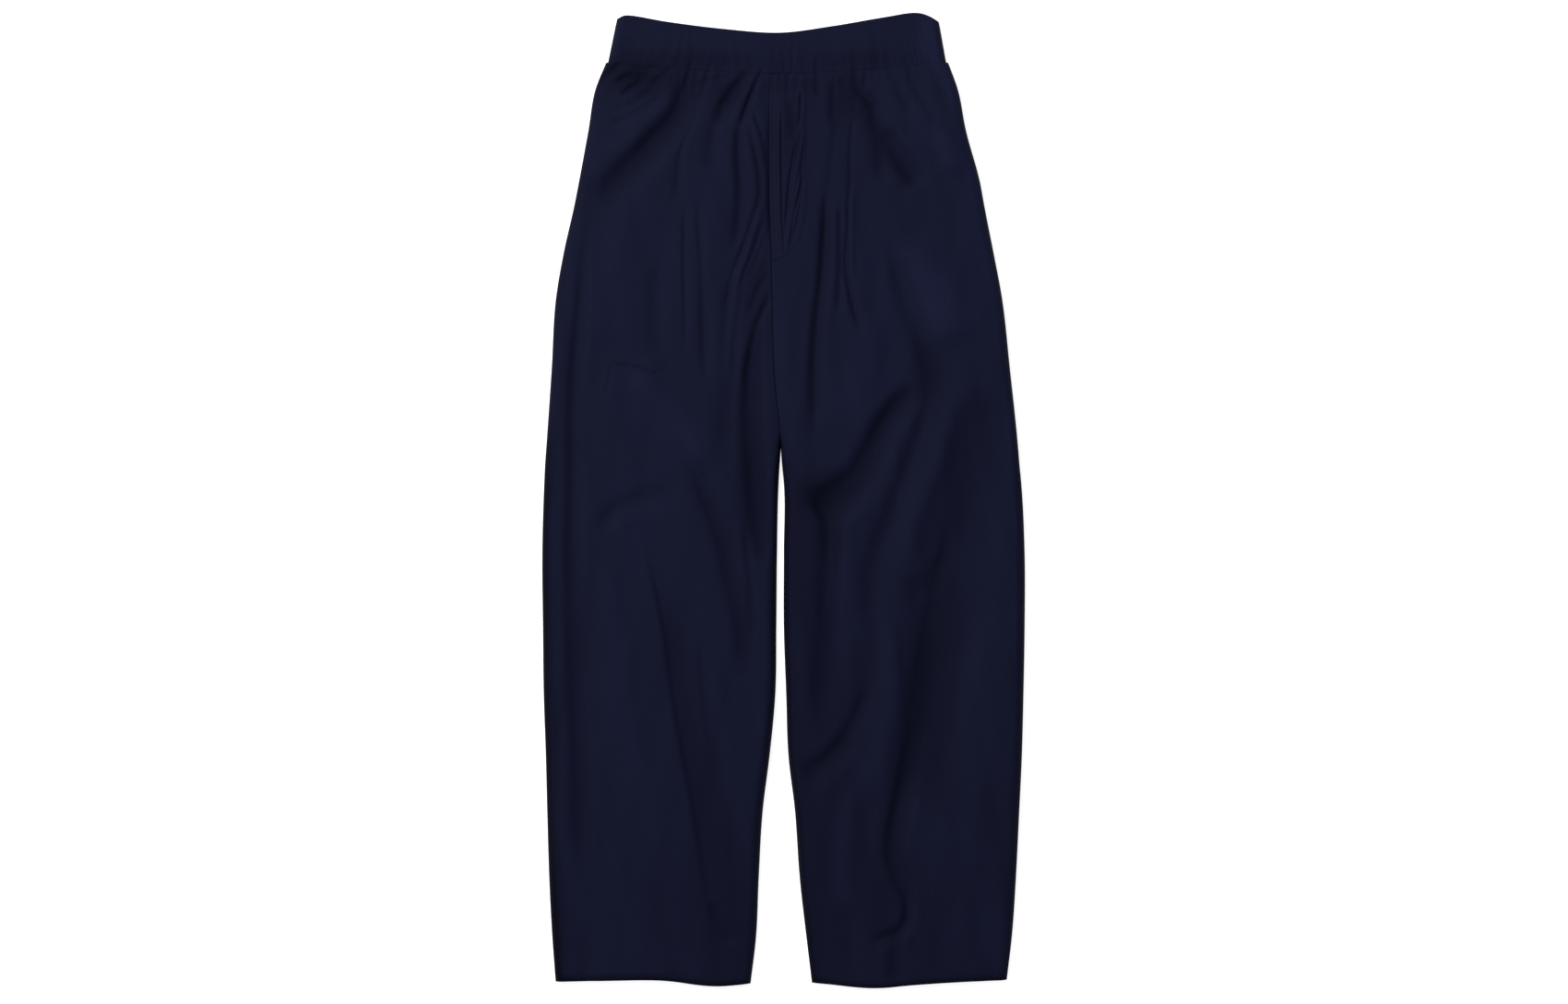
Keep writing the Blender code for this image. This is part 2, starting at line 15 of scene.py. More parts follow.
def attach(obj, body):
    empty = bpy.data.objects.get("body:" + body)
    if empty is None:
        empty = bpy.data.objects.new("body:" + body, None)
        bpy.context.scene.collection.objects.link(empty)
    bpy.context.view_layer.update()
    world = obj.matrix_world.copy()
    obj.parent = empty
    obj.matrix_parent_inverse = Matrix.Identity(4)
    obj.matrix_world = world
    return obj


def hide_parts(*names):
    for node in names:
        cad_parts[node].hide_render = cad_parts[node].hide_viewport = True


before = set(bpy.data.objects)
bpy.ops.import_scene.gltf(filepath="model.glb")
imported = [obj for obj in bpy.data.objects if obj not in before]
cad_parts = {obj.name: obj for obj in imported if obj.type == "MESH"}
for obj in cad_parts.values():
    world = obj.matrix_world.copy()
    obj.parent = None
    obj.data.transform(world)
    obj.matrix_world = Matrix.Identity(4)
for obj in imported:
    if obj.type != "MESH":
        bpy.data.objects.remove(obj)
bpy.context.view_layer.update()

MM = 0.001

# Cloth and its turned edges
CLOTH = 0.78
HEM_DEPTH = 33
HEM_TURN = 0.8

# Heights of the cloth's outer side
SEAM_HEIGHT = 1.8
BODY_HEIGHT = 15.5
PANEL_TOP_HEIGHT = 12.2
HEM_HEIGHT = 12
WAIST_RISE = 60
HEM_RISE = 150
LOWEST_TROUGH = 8.8
TALLEST_RIDGE = 6.5
FRONT_ROLL = 10
BACK_ROLL = 2
CROTCH_HEIGHT = 53
FRONT_LIFT = 16
CROTCH_PINCH = 0.55
CROTCH_PINCH_REACH = 30
BACK_DROP = 35
SEAM_VALLEY_DEPTH = 1.6
SEAM_VALLEY_WIDTH = 9
SEAM_GROOVE_DEPTH = 1
SEAM_GROOVE_WIDTH = 1.5
WAIST_GROOVE_DEPTH = 0.08
HEM_DROP = 2.4
HEM_DROP_LENGTH = 10
EDGE_EASE = 14

# Mesh steps
ROLL_STEPS = 6
TURN_STEPS = 6
TURN_ANGLES = np.linspace(0, math.pi, TURN_STEPS + 1)[1:]
HEM_ROWS = 9
NEAR_SEAM_ROWS = (0, 0.3, 0.8, 1.5)
EVEN_ROWS_START = 2.6
WAIST_SHIFT_END = 150
HEM_SHIFT_START = -380

Section = namedtuple("Section", "height right_side right_inner left_inner left_side")
SECTIONS = [Section(*row) for row in (
    (453, -184.1, -15, -15, 170.8),
    (427, -194.6, -15, -15, 180.3),
    (384, -202.2, -15, -15, 188.9),
    (327, -212.7, -15, -15, 204.2),
    (308, -216.4, -14.8, -14.8, 207.6),
    (258, -227.6, -12.6, -12.6, 217.4),
    (212, -235.6, -11.6, -11.6, 226.1),
    (136, -240.4, -9.6, -9.6, 234.7),
    (53, -246.1, -2.8, -2.8, 243.3),
    (38, -247.2, -3.9, -1.7, 244.5),
    (18, -248.1, -5, 0.2, 246.4),
    (-55, -250.1, -6.7, 0.2, 249.9),
    (-131, -249.4, -7.4, 0.2, 249.9),
    (-200, -248.6, -8.4, 2.6, 248.7),
    (-265, -246.4, -14.5, 5, 247),
    (-320, -245, -21.4, 11.6, 244.4),
    (-390, -242.9, -25.6, 16.6, 240.9),
    (-455, -239.5, -28.6, 23.8, 236.4),
    (-500, -236.2, -34, 29.2, 231.2),
)]

Waist = namedtuple("Waist", "low_x low_y top_x top_y")
WAIST = [Waist(*row) for row in (
    (-182, 453, -172.6, 499),
    (-170, 451.8, -158, 501.2),
    (-128, 447.6, -118, 494.4),
    (-66, 443, -60, 487.2),
    (-6, 441.2, -4, 483.5),
    (54, 443.4, 50, 490.2),
    (116, 447.8, 104, 499.4),
    (150, 451.2, 138, 503.9),
    (168.6, 453, 161, 496),
)]

Hem = namedtuple("Hem", "x y")
HEMS = [Hem(*row) for row in (
    (-236, -497.6),
    (-180, -496.4),
    (-128, -496.2),
    (-66, -502.2),
    (-34, -499.6),
    (29, -498.8),
    (94, -504),
    (142, -500.4),
    (196, -497.2),
    (231, -495.8),
)]

# Folds, each along its steep bank, or along its top where a negative depth makes it a ridge. The width is
# that of a trough with two steep banks. Crease is 0 for a rounded trough and 1 for a sharp one. Slow is
# how many times wider the other bank is, the one toward +X and the hems.
Fold = namedtuple("Fold", "name path width depth crease slow", defaults=(0, 1))
FOLDS = [Fold(*row) for row in (
    # The wearer's right
    ("hip drag, top", ((-93, 474), (-96, 456), (-101, 436), (-108, 414)), 5, 4, 0.8, 1.3),
    ("hip drag", ((-99, 452), (-105, 426), (-114, 402), (-138, 376), (-160, 352), (-206, 306)),
     28, 8, 0.1, 1.1),
    ("hip drag, under line", ((-86, 410), (-98, 388), (-108, 362), (-112, 330), (-114, 304)), 9, 1.8, 0.3),
    ("hip drag, middle", ((-103, 420), (-123, 391), (-149, 366), (-183, 334)), 30, 3.4),
    ("outer tuck", ((-36, 448), (-49, 433), (-58, 420), (-67, 405), (-73, 388)), 15, 8, 0.3),
    ("outer tuck, low", ((-66, 404), (-74, 388), (-80, 362), (-82, 336)), 18, 2.2),
    ("inner tuck, top", ((-20, 452), (-29, 434), (-38, 412), (-48, 384)), 6, 5, 0.6, 1.2),
    ("inner tuck", ((-48, 398), (-50, 360), (-48, 322), (-50, 290), (-54, 254)), 13, 4.2, 0.2, 1.2),
    ("beside the fly, bent", ((-40, 392), (-29, 350), (-26, 318), (-36, 284), (-54, 228)), 7, 2.1, 0.4),
    ("beside the fly, light", ((-39, 410), (-27, 376), (-19, 345)), 6, -1.6, 0.2),
    ("beside the fly, thin 1", ((-34, 408), (-23, 374), (-19, 340)), 4, 1.3, 0.4),
    ("beside the fly, thin 2", ((-18, 300), (-30, 264), (-42, 236), (-54, 206)), 5, 1.1, 0.4),
    ("beside the fly, thin 3", ((-17, 282), (-26, 258), (-40, 226)), 5, 1.1, 0.4),
    ("beside the fly, thin 4", ((-30, 300), (-40, 270), (-52, 240), (-62, 196)), 5, 1.3, 0.4),
    ("beside the fly, ridge", ((-22, 310), (-36, 262), (-47, 226), (-54, 180), (-58, 104)), 10, -2.4, 0.2),
    ("under the fly", ((-17, 236), (-28, 220), (-40, 190)), 9, 1.6, 0.3, 1.2),
    ("crotch trough, top", ((-13, 218), (-20, 205), (-29, 184), (-36, 154), (-40, 110)), 10, 3.4, 0.3),
    ("crotch trough", ((-32, 180), (-39, 136), (-41, 90), (-38, 30), (-26, -78)), 22, 8.6, 0.2, 1.3),
    ("crotch line", ((-22, 196), (-28, 140), (-27, 84)), 8, 2.2, 0.5),
    ("thigh line", ((-92, 320), (-87, 240), (-86, 200), (-84, 110)), 10, 2.2, 0.2, 1.2),
    ("thigh line, thin", ((-104, 310), (-104, 240), (-103, 150)), 6, 2.2, 0.5),
    ("thigh, faint", ((-134, 256), (-141, 140)), 22, 2.2),
    ("front swell", ((-62, 250), (-62, 150), (-66, 30)), 24, 3.2, 0.1),
    ("inner knee", ((-116, 66), (-95, 24), (-76, -22), (-60, -78), (-50, -130), (-42, -196)),
     26, 4.6, 0.1, 1.2),
    ("knee, inner line", ((-44, -20), (-38, -80), (-34, -150)), 12, 2.2, 0.2),
    ("shin crease", ((-152, -10), (-140, -60), (-127, -118), (-111, -226), (-95, -309), (-83, -386),
     (-77, -430), (-74, -482)), 12, 3, 0.3, 3.2),
    ("shin, faint", ((-90, -130), (-84, -210), (-64, -330)), 12, 1.6, 0.1, 2),
    ("shin, wide", ((-128, -80), (-104, -226), (-87, -309), (-66, -410)), 36, 2.4, 0, 1.2),
    ("shin, inner", ((-62, -330), (-54, -400), (-56, -470)), 20, 1.1),
    ("hem crumple", ((-78, -414), (-70, -438), (-57, -462)), 12, 2.6, 0.1),
    ("side groove", ((-200, 326), (-212, 230), (-216, 180), (-221, 120), (-223, 0), (-224, -100),
     (-220, -190), (-212, -440)), 18, 3.9, 0, 1.2),
    ("pocket bag corner", ((-181, 141), (-164, 140), (-148, 137), (-120, 129)), 5, 3.8, 0.9),
    ("pocket bag side", ((-178, 142), (-181, 128), (-185, 108)), 5, 1.3, 0.8),
    ("thigh band", ((-200, -32), (-176, -4), (-150, 8), (-108, 18)), 24, 2.6),
    ("thigh bulge", ((-160, 142), (-112, 90), (-72, 22)), 44, -3.8),
    ("hip bulge", ((-106, 436), (-122, 414), (-146, 389), (-168, 366), (-212, 326)), 34, -1.5),
    ("hip pocket swell", ((-158, 310), (-170, 230), (-172, 150)), 50, -1.8),
    ("calf swell", ((-176, -50), (-170, -200), (-150, -340)), 60, -2.6),
    ("corner dent", ((-196, 430), (-182, 446), (-168, 455)), 10, 8, 0.3),
    ("corner crumple 1", ((-176, 434), (-158, 441), (-136, 441)), 9, 3.8, 0.2),
    ("corner crumple 2", ((-158, 452), (-144, 448), (-130, 452)), 7, 3, 0.3),
    ("corner crumple 3", ((-170, 420), (-158, 428), (-146, 439)), 8, 3.2, 0.3),
    ("corner crumple 4", ((-138, 432), (-126, 440), (-116, 451)), 6, 2.4, 0.3),
    ("hip line, upper", ((-176, 404), (-156, 413), (-134, 428)), 9, 1.3, 0.1),
    ("hip line, lower", ((-184, 388), (-154, 402), (-122, 424)), 10, 1.5, 0.1),
    ("by the hip drag", ((-103, 424), (-88, 432), (-68, 438), (-50, 442)), 6, 2.2, 0.5),
    ("waist line 1", ((-74, 462), (-84, 430), (-98, 392)), 8, 1.8, 0.3),
    # The wearer's left
    ("inner pleat, top", ((56, 418), (48, 368), (43, 310)), 12, 0.9, 0.1, 1.2),
    ("inner pleat", ((41, 334), (39.5, 270), (36, 225), (31, 185), (28, 140), (29, 60)), 12, 6.6, 0.4, 1.3),
    ("outer pleat, top", ((70, 400), (68, 370), (67, 300)), 6, 1.7, 0.5),
    ("outer pleat", ((67, 330), (65, 280), (63, 236), (69, 204), (80, 164)), 7, 4.4, 0.7, 1.2),
    ("pleat ridge", ((71, 330), (69, 262), (70, 222)), 7, -2.4, 0.2),
    ("pleat between", ((56, 314), (56, 250), (53, 186)), 9, 2.6, 0.2),
    ("hip line, top", ((70, 478), (72, 440), (77, 414)), 7, 2.4, 0.5, 1.2),
    ("hip line", ((72, 430), (86, 408), (93, 376), (97, 322)), 19, 3.8, 0.1, 1.2),
    ("hip dash", ((97, 384), (107, 366), (117, 349), (127, 332), (134, 317)), 22, 7.4),
    ("drag to hip", ((107, 270), (110, 248), (115, 222), (125, 196), (134, 166), (146, 130), (148, 92)),
     28, 5, 0, 1.2),
    ("thigh drag", ((149, 140), (142, 100), (131, 62), (117, 26), (104, -14), (90, -46), (79, -150)),
     24, 3, 0.1),
    ("crotch drag", ((131, 127), (117, 107), (99, 82), (86, 56), (73, 32), (54, 14), (26, 4)),
     30, 10.5, 0.2, 1.2),
    ("crotch pool", ((76, 30), (48, 14), (21, 0)), 36, 6),
    ("inner line", ((38, 10), (41, -50), (37, -130), (28, -236)), 26, 6, 0.1, 1.2),
    ("inner line, thin", ((56, -10), (52, -90), (44, -170)), 9, 2, 0.4),
    ("thigh ridge", ((132, 116), (120, 78), (104, 46), (88, 14), (74, -22), (66, -70), (64, -136)),
     30, -1.9),
    ("outer ridge", ((174, 116), (168, 72), (158, 38), (144, 4), (132, -30), (121, -92)), 28, -3.2),
    ("outer swell", ((190, 128), (186, 66), (175, 14), (165, -34), (153, -84)), 76, 5),
    ("shin drag", ((170, -16), (160, -60), (150, -104), (141, -150), (135, -200), (124, -262)),
     18, 2.4, 0.2, 1.2),
    ("shin, wide", ((113, -330), (125, -262), (134, -200), (142, -150), (150, -104), (165, -40)),
     60, 7.2, 0, 1.8),
    ("shin ridge", ((108, -120), (112, -180), (104, -250), (90, -320)), 30, -3.1),
    ("shin, lower", ((134, -220), (122, -284), (110, -330), (107, -366), (117, -400), (123, -430)),
     19, 7.6, 0.2, 1.3),
    ("hem hook", ((120, -396), (125, -420), (121, -437), (87, -452)), 13, 4.4, 0.3, 1.2),
    ("hem line", ((112, -440), (111, -468), (108, -500)), 20, 3, 0.1),
    ("knee wedge", ((166, -50), (150, -74), (122, -92)), 26, 2.2),
    ("knee drag", ((85, -184), (73, -216), (57, -244), (37, -265), (10, -280)), 18, 3.2, 0.1, 1.3),
    ("knee drag, low", ((66, -238), (48, -260), (32, -272), (16, -282)), 26, 3.2),
    ("calf swell", ((200, -120), (190, -260), (176, -400)), 60, -2.8),
    ("inner calf swell", ((72, -290), (66, -370), (66, -440)), 34, -2.2),
    ("hip bulge", ((124, 276), (156, 212), (182, 154)), 66, -5.2),
    ("front bulge", ((96, 196), (80, 124), (62, 64)), 48, -2.6),
    ("pocket bulge", ((134, 414), (166, 376), (182, 330)), 34, -2.8),
    ("waist dent", ((52, 432), (66, 424), (86, 416)), 26, 3.2),
    ("waist dent, edge", ((72, 424), (84, 415), (96, 400)), 8, 3, 0.4),
    ("waist gather 1", ((32, 460), (32, 436), (34, 414)), 7, 3.2, 0.5),
    ("waist gather 2", ((53, 462), (50, 430), (47, 384)), 8, 1.8, 0.3),
    ("waist line 1", ((98, 468), (112, 432), (130, 392)), 12, 1.4, 0.1),
    ("waist line 2", ((120, 464), (136, 420), (158, 380)), 12, 1.3),
    ("waist line 3", ((142, 466), (156, 432), (170, 400)), 12, 1.1),
    # The fly
    ("pucker, top", ((17, 424), (16, 404), (14, 384)), 5, 2.4, 0.6),
    ("pucker 1", ((23, 402), (14, 366), (8, 330), (0, 278)), 5, 1.5, 0.4),
    ("pucker 2", ((14, 380), (8, 350), (3, 312), (-1, 262)), 4, 1.4, 0.4),
    ("pucker 3", ((18, 354), (16, 322), (10, 300), (4, 252)), 5, 1.5, 0.4),
    ("pucker 4", ((21, 336), (15, 300), (8, 262)), 4, 1.2, 0.5),
    ("ridge", ((20, 412), (19, 372), (11, 330), (6, 296)), 6, -1.3, 0.1),
    ("ridge, low", ((20, 346), (14, 316), (8, 282), (3, 256)), 5, -1.1, 0.1),
    ("dent, top", ((4, 416), (6, 396), (5, 368)), 14, 1.8, 0.1),
    ("seam", ((-17.2, 396), (-16.8, 330), (-15.4, 258)), 4, 2.2, 0.5),
    ("placket edge", ((-3.4, 410), (-3.2, 330), (-2.4, 266)), 4, 1.4, 0.5),
)]
FOLD_BANK = 0.6
FOLD_END = 0.22
FOLD_SPREAD = 0.5
CREASE_FALL = 1.7
CREASE_BANK = 0.10
CREASE_BANK_PLACE = 1.8
CREASE_BANK_WIDTH = 0.8
SLOW_SIDE = (0.91, -0.41)
BANK_SHARE = 0.62
FOLD_PATH_STEPS = 24
FOLD_REACH = 5
WAIST_RELIEF = 0.4
WAIST_EASE = 22

# A wave adds its height times sin(place / length + phase)
Wave = namedtuple("Wave", "height length phase", defaults=[0])

# Soft swells of the cloth between the folds
Swell = namedtuple("Swell", "height x_length y_length phase")
SWELLS = (
    Swell(0.50, 132, 310, 0.6),
    Swell(0.40, 91, -243, 2.1),
    Swell(0.28, 47, 205, 4),
    Swell(0.20, 33, -171, 1.2),
    Swell(0.14, 23, 118, 5.1),
)
SWELL_BEND = [Wave(0.7, 61)]

# Patches of painted light and painted shade: middle, half lengths across and along, the change, and the
# turn of the long side from +Y towards -X in degrees. Painted shade also darkens the folds, and painted
# light makes the ridges paler.
PaintedTone = namedtuple("PaintedTone", "name x y across along change turn", defaults=[0])
PAINTED_TONES = [PaintedTone(*row) for row in (
    # The wearer's right
    ("waist corner", -150, 436, 19, 42, -0.56, 84),
    ("tucks, top", -62, 422, 18, 26, -0.27, 90),
    ("hip over the drag", -190, 376, 12, 26, 0.14, -30),
    ("hip", -150, 240, 44, 80, 0.12),
    ("front", -76, 330, 18, 40, 0.12),
    ("thigh", -114, 72, 24, 66, 0.16, 42),
    ("hip drag", -146, 368, 8, 38, -0.12, -42),
    ("crotch", -33, 34, 17, 68, -0.28),
    ("crotch, top", -30, 214, 10, 44, -0.32, -10),
    ("hem, outer", -238, -450, 9, 80, -0.34),
    ("knee", -150, -30, 40, 84, 0.13),
    ("shin", -150, -220, 30, 130, 0.06),
    ("outer side", -208, -140, 18, 110, -0.12),
    ("inner shin", -60, -424, 28, 96, -0.22, 6),
    # The wearer's left
    ("waist", 62, 412, 22, 22, -0.44, 90),
    ("waist rim", 174, 434, 14, 34, 0.24, 24),
    ("hip line", 88, 398, 11, 26, -0.14, 14),
    ("hip dash", 115, 347, 7, 22, -0.28, 33),
    ("thigh, top", 142, 118, 11, 22, -0.10),
    ("pocket", 150, 374, 13, 24, 0.22, 50),
    ("hip", 158, 209, 30, 52, 0.33, 32),
    ("side, under the hip", 218, 144, 14, 30, -0.16),
    ("front", 76, 112, 28, 44, 0.14, -20),
    ("front, upper", 104, 196, 14, 84, 0.20, 4),
    ("crotch", 46, 12, 17, 28, -0.26, -68),
    ("crotch, corner", 24, 2, 13, 20, -0.24),
    ("crotch drag", 94, 74, 9, 44, -0.17, -34),
    ("crotch, lower", 50, -26, 22, 32, -0.26),
    ("inner thigh", 26, -70, 16, 100, -0.26),
    ("outer thigh", 164, -14, 16, 60, -0.14, -11),
    ("outer side", 206, -60, 24, 130, 0.22, -3),
    ("knee", 140, -90, 12, 24, -0.10, -62),
    ("shin, upper", 145, -168, 13, 56, -0.30, -11),
    ("shin", 135, -248, 11, 66, -0.30, -14),
    ("shin, outer", 168, -296, 18, 40, -0.16),
    ("hem, outer", 222, -456, 12, 40, 0.14),
    ("calf", 104, -400, 18, 70, -0.14),
    ("inner shin", 38, -330, 28, 130, -0.18),
    ("inner knee", 78, -192, 18, 50, -0.24, -10),
    ("side", 202, 280, 26, 120, 0.24, 12),
    # The middle and the waistband
    ("fly", 2, 366, 26, 66, -0.22),
    ("fly, top", 0, 432, 10, 44, -0.14, 90),
    ("band, right corner", -166, 480, 12, 28, -0.08),
    ("band, left corner", 154, 480, 17, 34, 0.60),
    ("crotch point", -2, 160, 8, 50, 0.24),
    ("band, lower half", -80, 455, 13, 80, -0.26, 90),
    ("band, lower half, left", 74, 456, 11, 46, -0.20, 90),
)]
# Painted tone: its even middle, and how strongly painted shade darkens the folds and painted light makes
# the ridges paler
EVEN_PAINTED_TONE = 0.5
FOLD_PAINTED_SHADE_SCALE = 5
FOLD_PAINTED_SHADE_SHARE = 0.22
# Painted shade along the hems' lower edge, and how far the painted shade may go below the cloth's own navy
HEM_PAINTED_SHADE = 0.8
HEM_PAINTED_SHADE_REACH = 4
DEEPEST_PAINTED_SHADE = 0.5

# Painted shade and painted light along the edges of the legs, and along the hips above them
PaintedRim = namedtuple("PaintedRim", "name toward_side outer hip leg")
PAINTED_RIMS = (
    PaintedRim("right side", -1, True, -0.35, -1.2),
    PaintedRim("left inseam", 1, False, 0, -0.80),
    PaintedRim("left side", 1, True, 0.45, -0.15),
)
PAINTED_RIM_REACH = 7.5
PAINTED_RIM_LEG_TOP = 110
PAINTED_RIM_LEG_EASE = 110

# Gathers that run down from the waistband
RIPPLE_HEIGHT = 0.42
RIPPLE_LENGTH = 46
RIPPLE_PITCH = 10.4
RIPPLE_BEND = (Wave(1.9, 17.3), Wave(1.3, 7.9, 1))
RIPPLE_SHARE = (0.55, [Wave(0.45, 12.7, 2)])
RIPPLE_FADE = (0.6, [Wave(0.4, 9.1)])
RIPPLE_LEAN = 60
RIPPLE_SIDE_EASE = 70

# Waistband, with the lengths of its waves in shares of its width
BAND_HEIGHT = 12.9
BAND_RISE = 0.4
BAND_BULGE = 0.6
BAND_ROLL = 9
BAND_CLOTH = 3
BAND_COLUMNS = 344
BAND_ROWS = 22
BAND_SEAM_ROWS = (0, 0.008, 0.02, 0.04)
BAND_ROWS_START = 0.07
BAND_GATHERS = 31
BAND_BEND = (Wave(2.4, 1 / 23), Wave(1.7, 1 / 61))
BAND_SHARE = (0.5, [Wave(0.3, 1 / 47, 1), Wave(0.2, 1 / 29)])
BAND_LEAN = 1.4
BAND_LEAN_RATES = (12, 3.1)
BAND_FINE_GATHERS = 83
BAND_FINE_BEND = [Wave(2.1, 1 / 43)]
BAND_FINE_SHARE = 0.35
BAND_FINE_RATES = (37, 4)
BAND_TOP_SHARE = 0.3
BAND_FADE_START = 1.05
BAND_FADE_LENGTH = 0.8
BAND_GATHER_EASE = 22
BAND_GATHER_HEIGHT = 0.30
BAND_PLEAT_REACH = 19
BAND_PLEAT_LIMITS = (-1.8, 1.2)
BACK_BAND_CLOTH = 0.8
BACK_BAND_COLUMNS = 160
BACK_BAND_END_COLUMNS = (0, 0.002, 0.005, 0.009)
BACK_BAND_COLUMNS_START = 0.014
BACK_BAND_ROWS = 12
BACK_BAND_END_LIFT = 0.6
BACK_BAND_ROLL = 2.2
BACK_BAND_GATHER_SHARE = 0.2
BACK_BAND_GATHER_DROP = 0.1
BACK_BAND_EASE = 6

# Mock fly
FLY_WIDTH = 38.5
FLY_STRAIGHT_END = 311
FLY_CURVE = 63
FLY_CURVE_SHARE = 0.9985
FLY_TOP = 440.6
FLY_LIFT = 0.6
FLY_EDGE_LIFT = 0.07
FLY_EDGE_EASE = 4
FLY_SEAM_ROLL = 1.2
FLY_SEAM_GAP = 0.1
FLY_CLOTH = 0.26
FLY_PLACKET_WIDTH = 12.4
FLY_PLACKET_RISE = 0.7
FLY_PLACKET_EASE = 1.6
FLY_GROOVE_DEPTH = 0.3
FLY_GROOVE_GAP = 0.9
FLY_GROOVE_WIDTH = 0.8
FLY_END_EASE = 16
FLY_TOP_FADE = 0.85
FLY_FADE_START = 388
FLY_FADE_LENGTH = 22
FLY_PUCKER = 0.10
FLY_PUCKER_PITCH = 4.2
FLY_PUCKER_BEND = [Wave(2, 9)]
FLY_PUCKER_WIDTH = 2.4
FLY_COLUMNS = 64
FLY_ROWS = 190
FLY_ROWS_BUNCH = 0.06
FLY_STITCH_INSET = 1.7
FLY_ROWS_INSET = (5.6, 10.2)
FLY_ROWS_LIFT = (16, 12)
STITCH_DENT = 0.15
BORDER_DENT = 0.05
DENT_WIDTH = 0.7

# Stitches
STITCH_LENGTH = 2.5
STITCH_PITCH = 3.1
THREAD = 0.17
THREAD_LIFT = 0.55
THREAD_DIP = 0.9
STITCH_RINGS = 7
STITCH_SIDES = 6
STITCH_END = 0.97
STITCH_TIP = 0.02
STITCH_LOOK = 0.4
SLOPE_STEP = 0.25

# Stitching of the fly: rows, border with its corner, and bar tack
ROW_POINTS = 80
ROW_TOP_GAP = 1.5
CORNER_TURN = 83
CORNER_POINTS = 40
BORDER_POINTS = 30
TACK_LIFT = 6
TACK_PLACES = np.linspace(2.2, 10.6, 15)
TACK_LEAN = 0.25
TACK_LENGTH = 1.5
TACK_THREAD = 0.13

# Stitching of the hems
PRICK = 0.8
PRICK_PITCH = 7.5
PRICK_THREAD = 0.1
HEM_POINTS = 60
HEM_FOLLOW = 0.7

# Look of the cloth, the thread and the floor, with the weave and the bumps in metres
# Ends of the cloth's colour ramp: painted shade darker than the cloth's own navy, painted light paler than
# it
NAVY_PAINTED_SHADE = (0.0012, 0.0013, 0.0040)
NAVY = (0.0030, 0.0033, 0.0098)
NAVY_PAINTED_LIGHT = (0.0061, 0.0074, 0.0222)
THREAD_NAVY = (0.0046, 0.0055, 0.0162)
CLOTH_SHADER = {
    "Roughness": 0.72,
    "Specular IOR Level": 0.02,
    "Sheen Weight": 0.01,
    "Sheen Roughness": 0.45,
    "Sheen Tint": (0.55, 0.62, 1, 1),
}
THREAD_SHADER = {"Roughness": 0.6, "Specular IOR Level": 0.2}
FLOOR_SHADER = {
    "Base Color": (0.4, 0.4, 0.4, 1),
    "Roughness": 0.9,
    "Specular IOR Level": 0.1,
    "Emission Color": (1, 1, 1, 1),
    "Emission Strength": 0.85,
}
FLOOR_HALF = 6000
FLOOR_HEIGHT = -0.3
WEAVE_PITCH = 0.00062
Noise = namedtuple("Noise", "scale detail roughness")
SLUB = Noise(420, 3, 0.6)
RUMPLES = Noise(46, 4, 0.55)
RUMPLE_STRETCH = (1, 0.32, 1)
CLOUDS = Noise(14, 3, 0.6)
TWIST = Noise(1800, 1, 0.5)
PATCHINESS = 0.18
Bump = namedtuple("Bump", "distance strength")
RUMPLE_BUMP = Bump(0.00050, 1)
BAND_RUMPLE_BUMP = Bump(0.00060, 1)
SLUB_BUMP = Bump(0.00012, 0.6)
WEAVE_BUMP = Bump(0.00005, 0.6)
TWIST_TONES = ((0.3, 0.75), (0.7, 1.2))

# Camera, whose clip end is in metres, and light, in metres and watts
PIXEL = 0.954
FRAME_WIDTH = 1700 * PIXEL
FRAME_CENTRE = (0.48, -1.43)
CAMERA_DISTANCE = 3500
CLIP_END = 20
SENSOR = 36
AIM_HEIGHT = 8
KEY_PLACE = (-1.7, 1.4, 2.9)
KEY_SIZE = 1.3
KEY_POWER = 192
SKY_STRENGTH = 0.39


def smooth_step(value):
    """Eases from 0 to 1 while value goes from 0 to 1: 3 t squared less 2 t cubed."""
    t = np.clip(value, 0, 1)
    return t * t * (3 - 2 * t)


def blend(start, end, share):
    """Eases from start to end while share goes from 0 to 1."""
    return start + (end - start) * smooth_step(share)


def quarter_round(value):
    """Rises from 0 to 1 as a quarter circle while value goes from 0 to 1."""
    t = np.clip(value, 0, 1)
    return np.sqrt(np.maximum(0, 1 - (1 - t) ** 2))


def bell(value, width):
    """Falls from 1 on both sides of 0 as exp(-(value / width)^2)."""
    return np.exp(-(value / width) ** 2)


def add_waves(place, start, waves):
    """Start plus the waves at each place."""
    for wave in waves:
        start = start + wave.height * np.sin(place / wave.length + wave.phase)
    return start


def smooth_curve(knots, values, at):
    """Cubic curve through (knots, values), with the mean of the neighbouring slopes at each knot."""
    knots = np.asarray(knots, dtype=float)
    values = np.asarray(values, dtype=float)
    if knots[0] > knots[-1]:
        knots = knots[::-1]
        values = values[::-1]
    slopes = np.gradient(values, knots)
    at = np.clip(at, knots[0], knots[-1])
    k = np.clip(np.searchsorted(knots, at) - 1, 0, len(knots) - 2)
    step = knots[k + 1] - knots[k]
    t = (at - knots[k]) / step
    start = (1 + 2 * t) * (1 - t) ** 2 * values[k] + t * (1 - t) ** 2 * step * slopes[k]
    end = t * t * (3 - 2 * t) * values[k + 1] + t * t * (t - 1) * step * slopes[k + 1]
    return start + end


def table_curve(table, knot, column, at):
    """Smooth curve through two columns of a table."""
    return smooth_curve([getattr(row, knot) for row in table], [getattr(row, column) for row in table], at)


def side_edge(toward_side, y):
    """X of a panel's side seam at each y."""
    return table_curve(SECTIONS, "height", "right_side" if toward_side < 0 else "left_side", y)


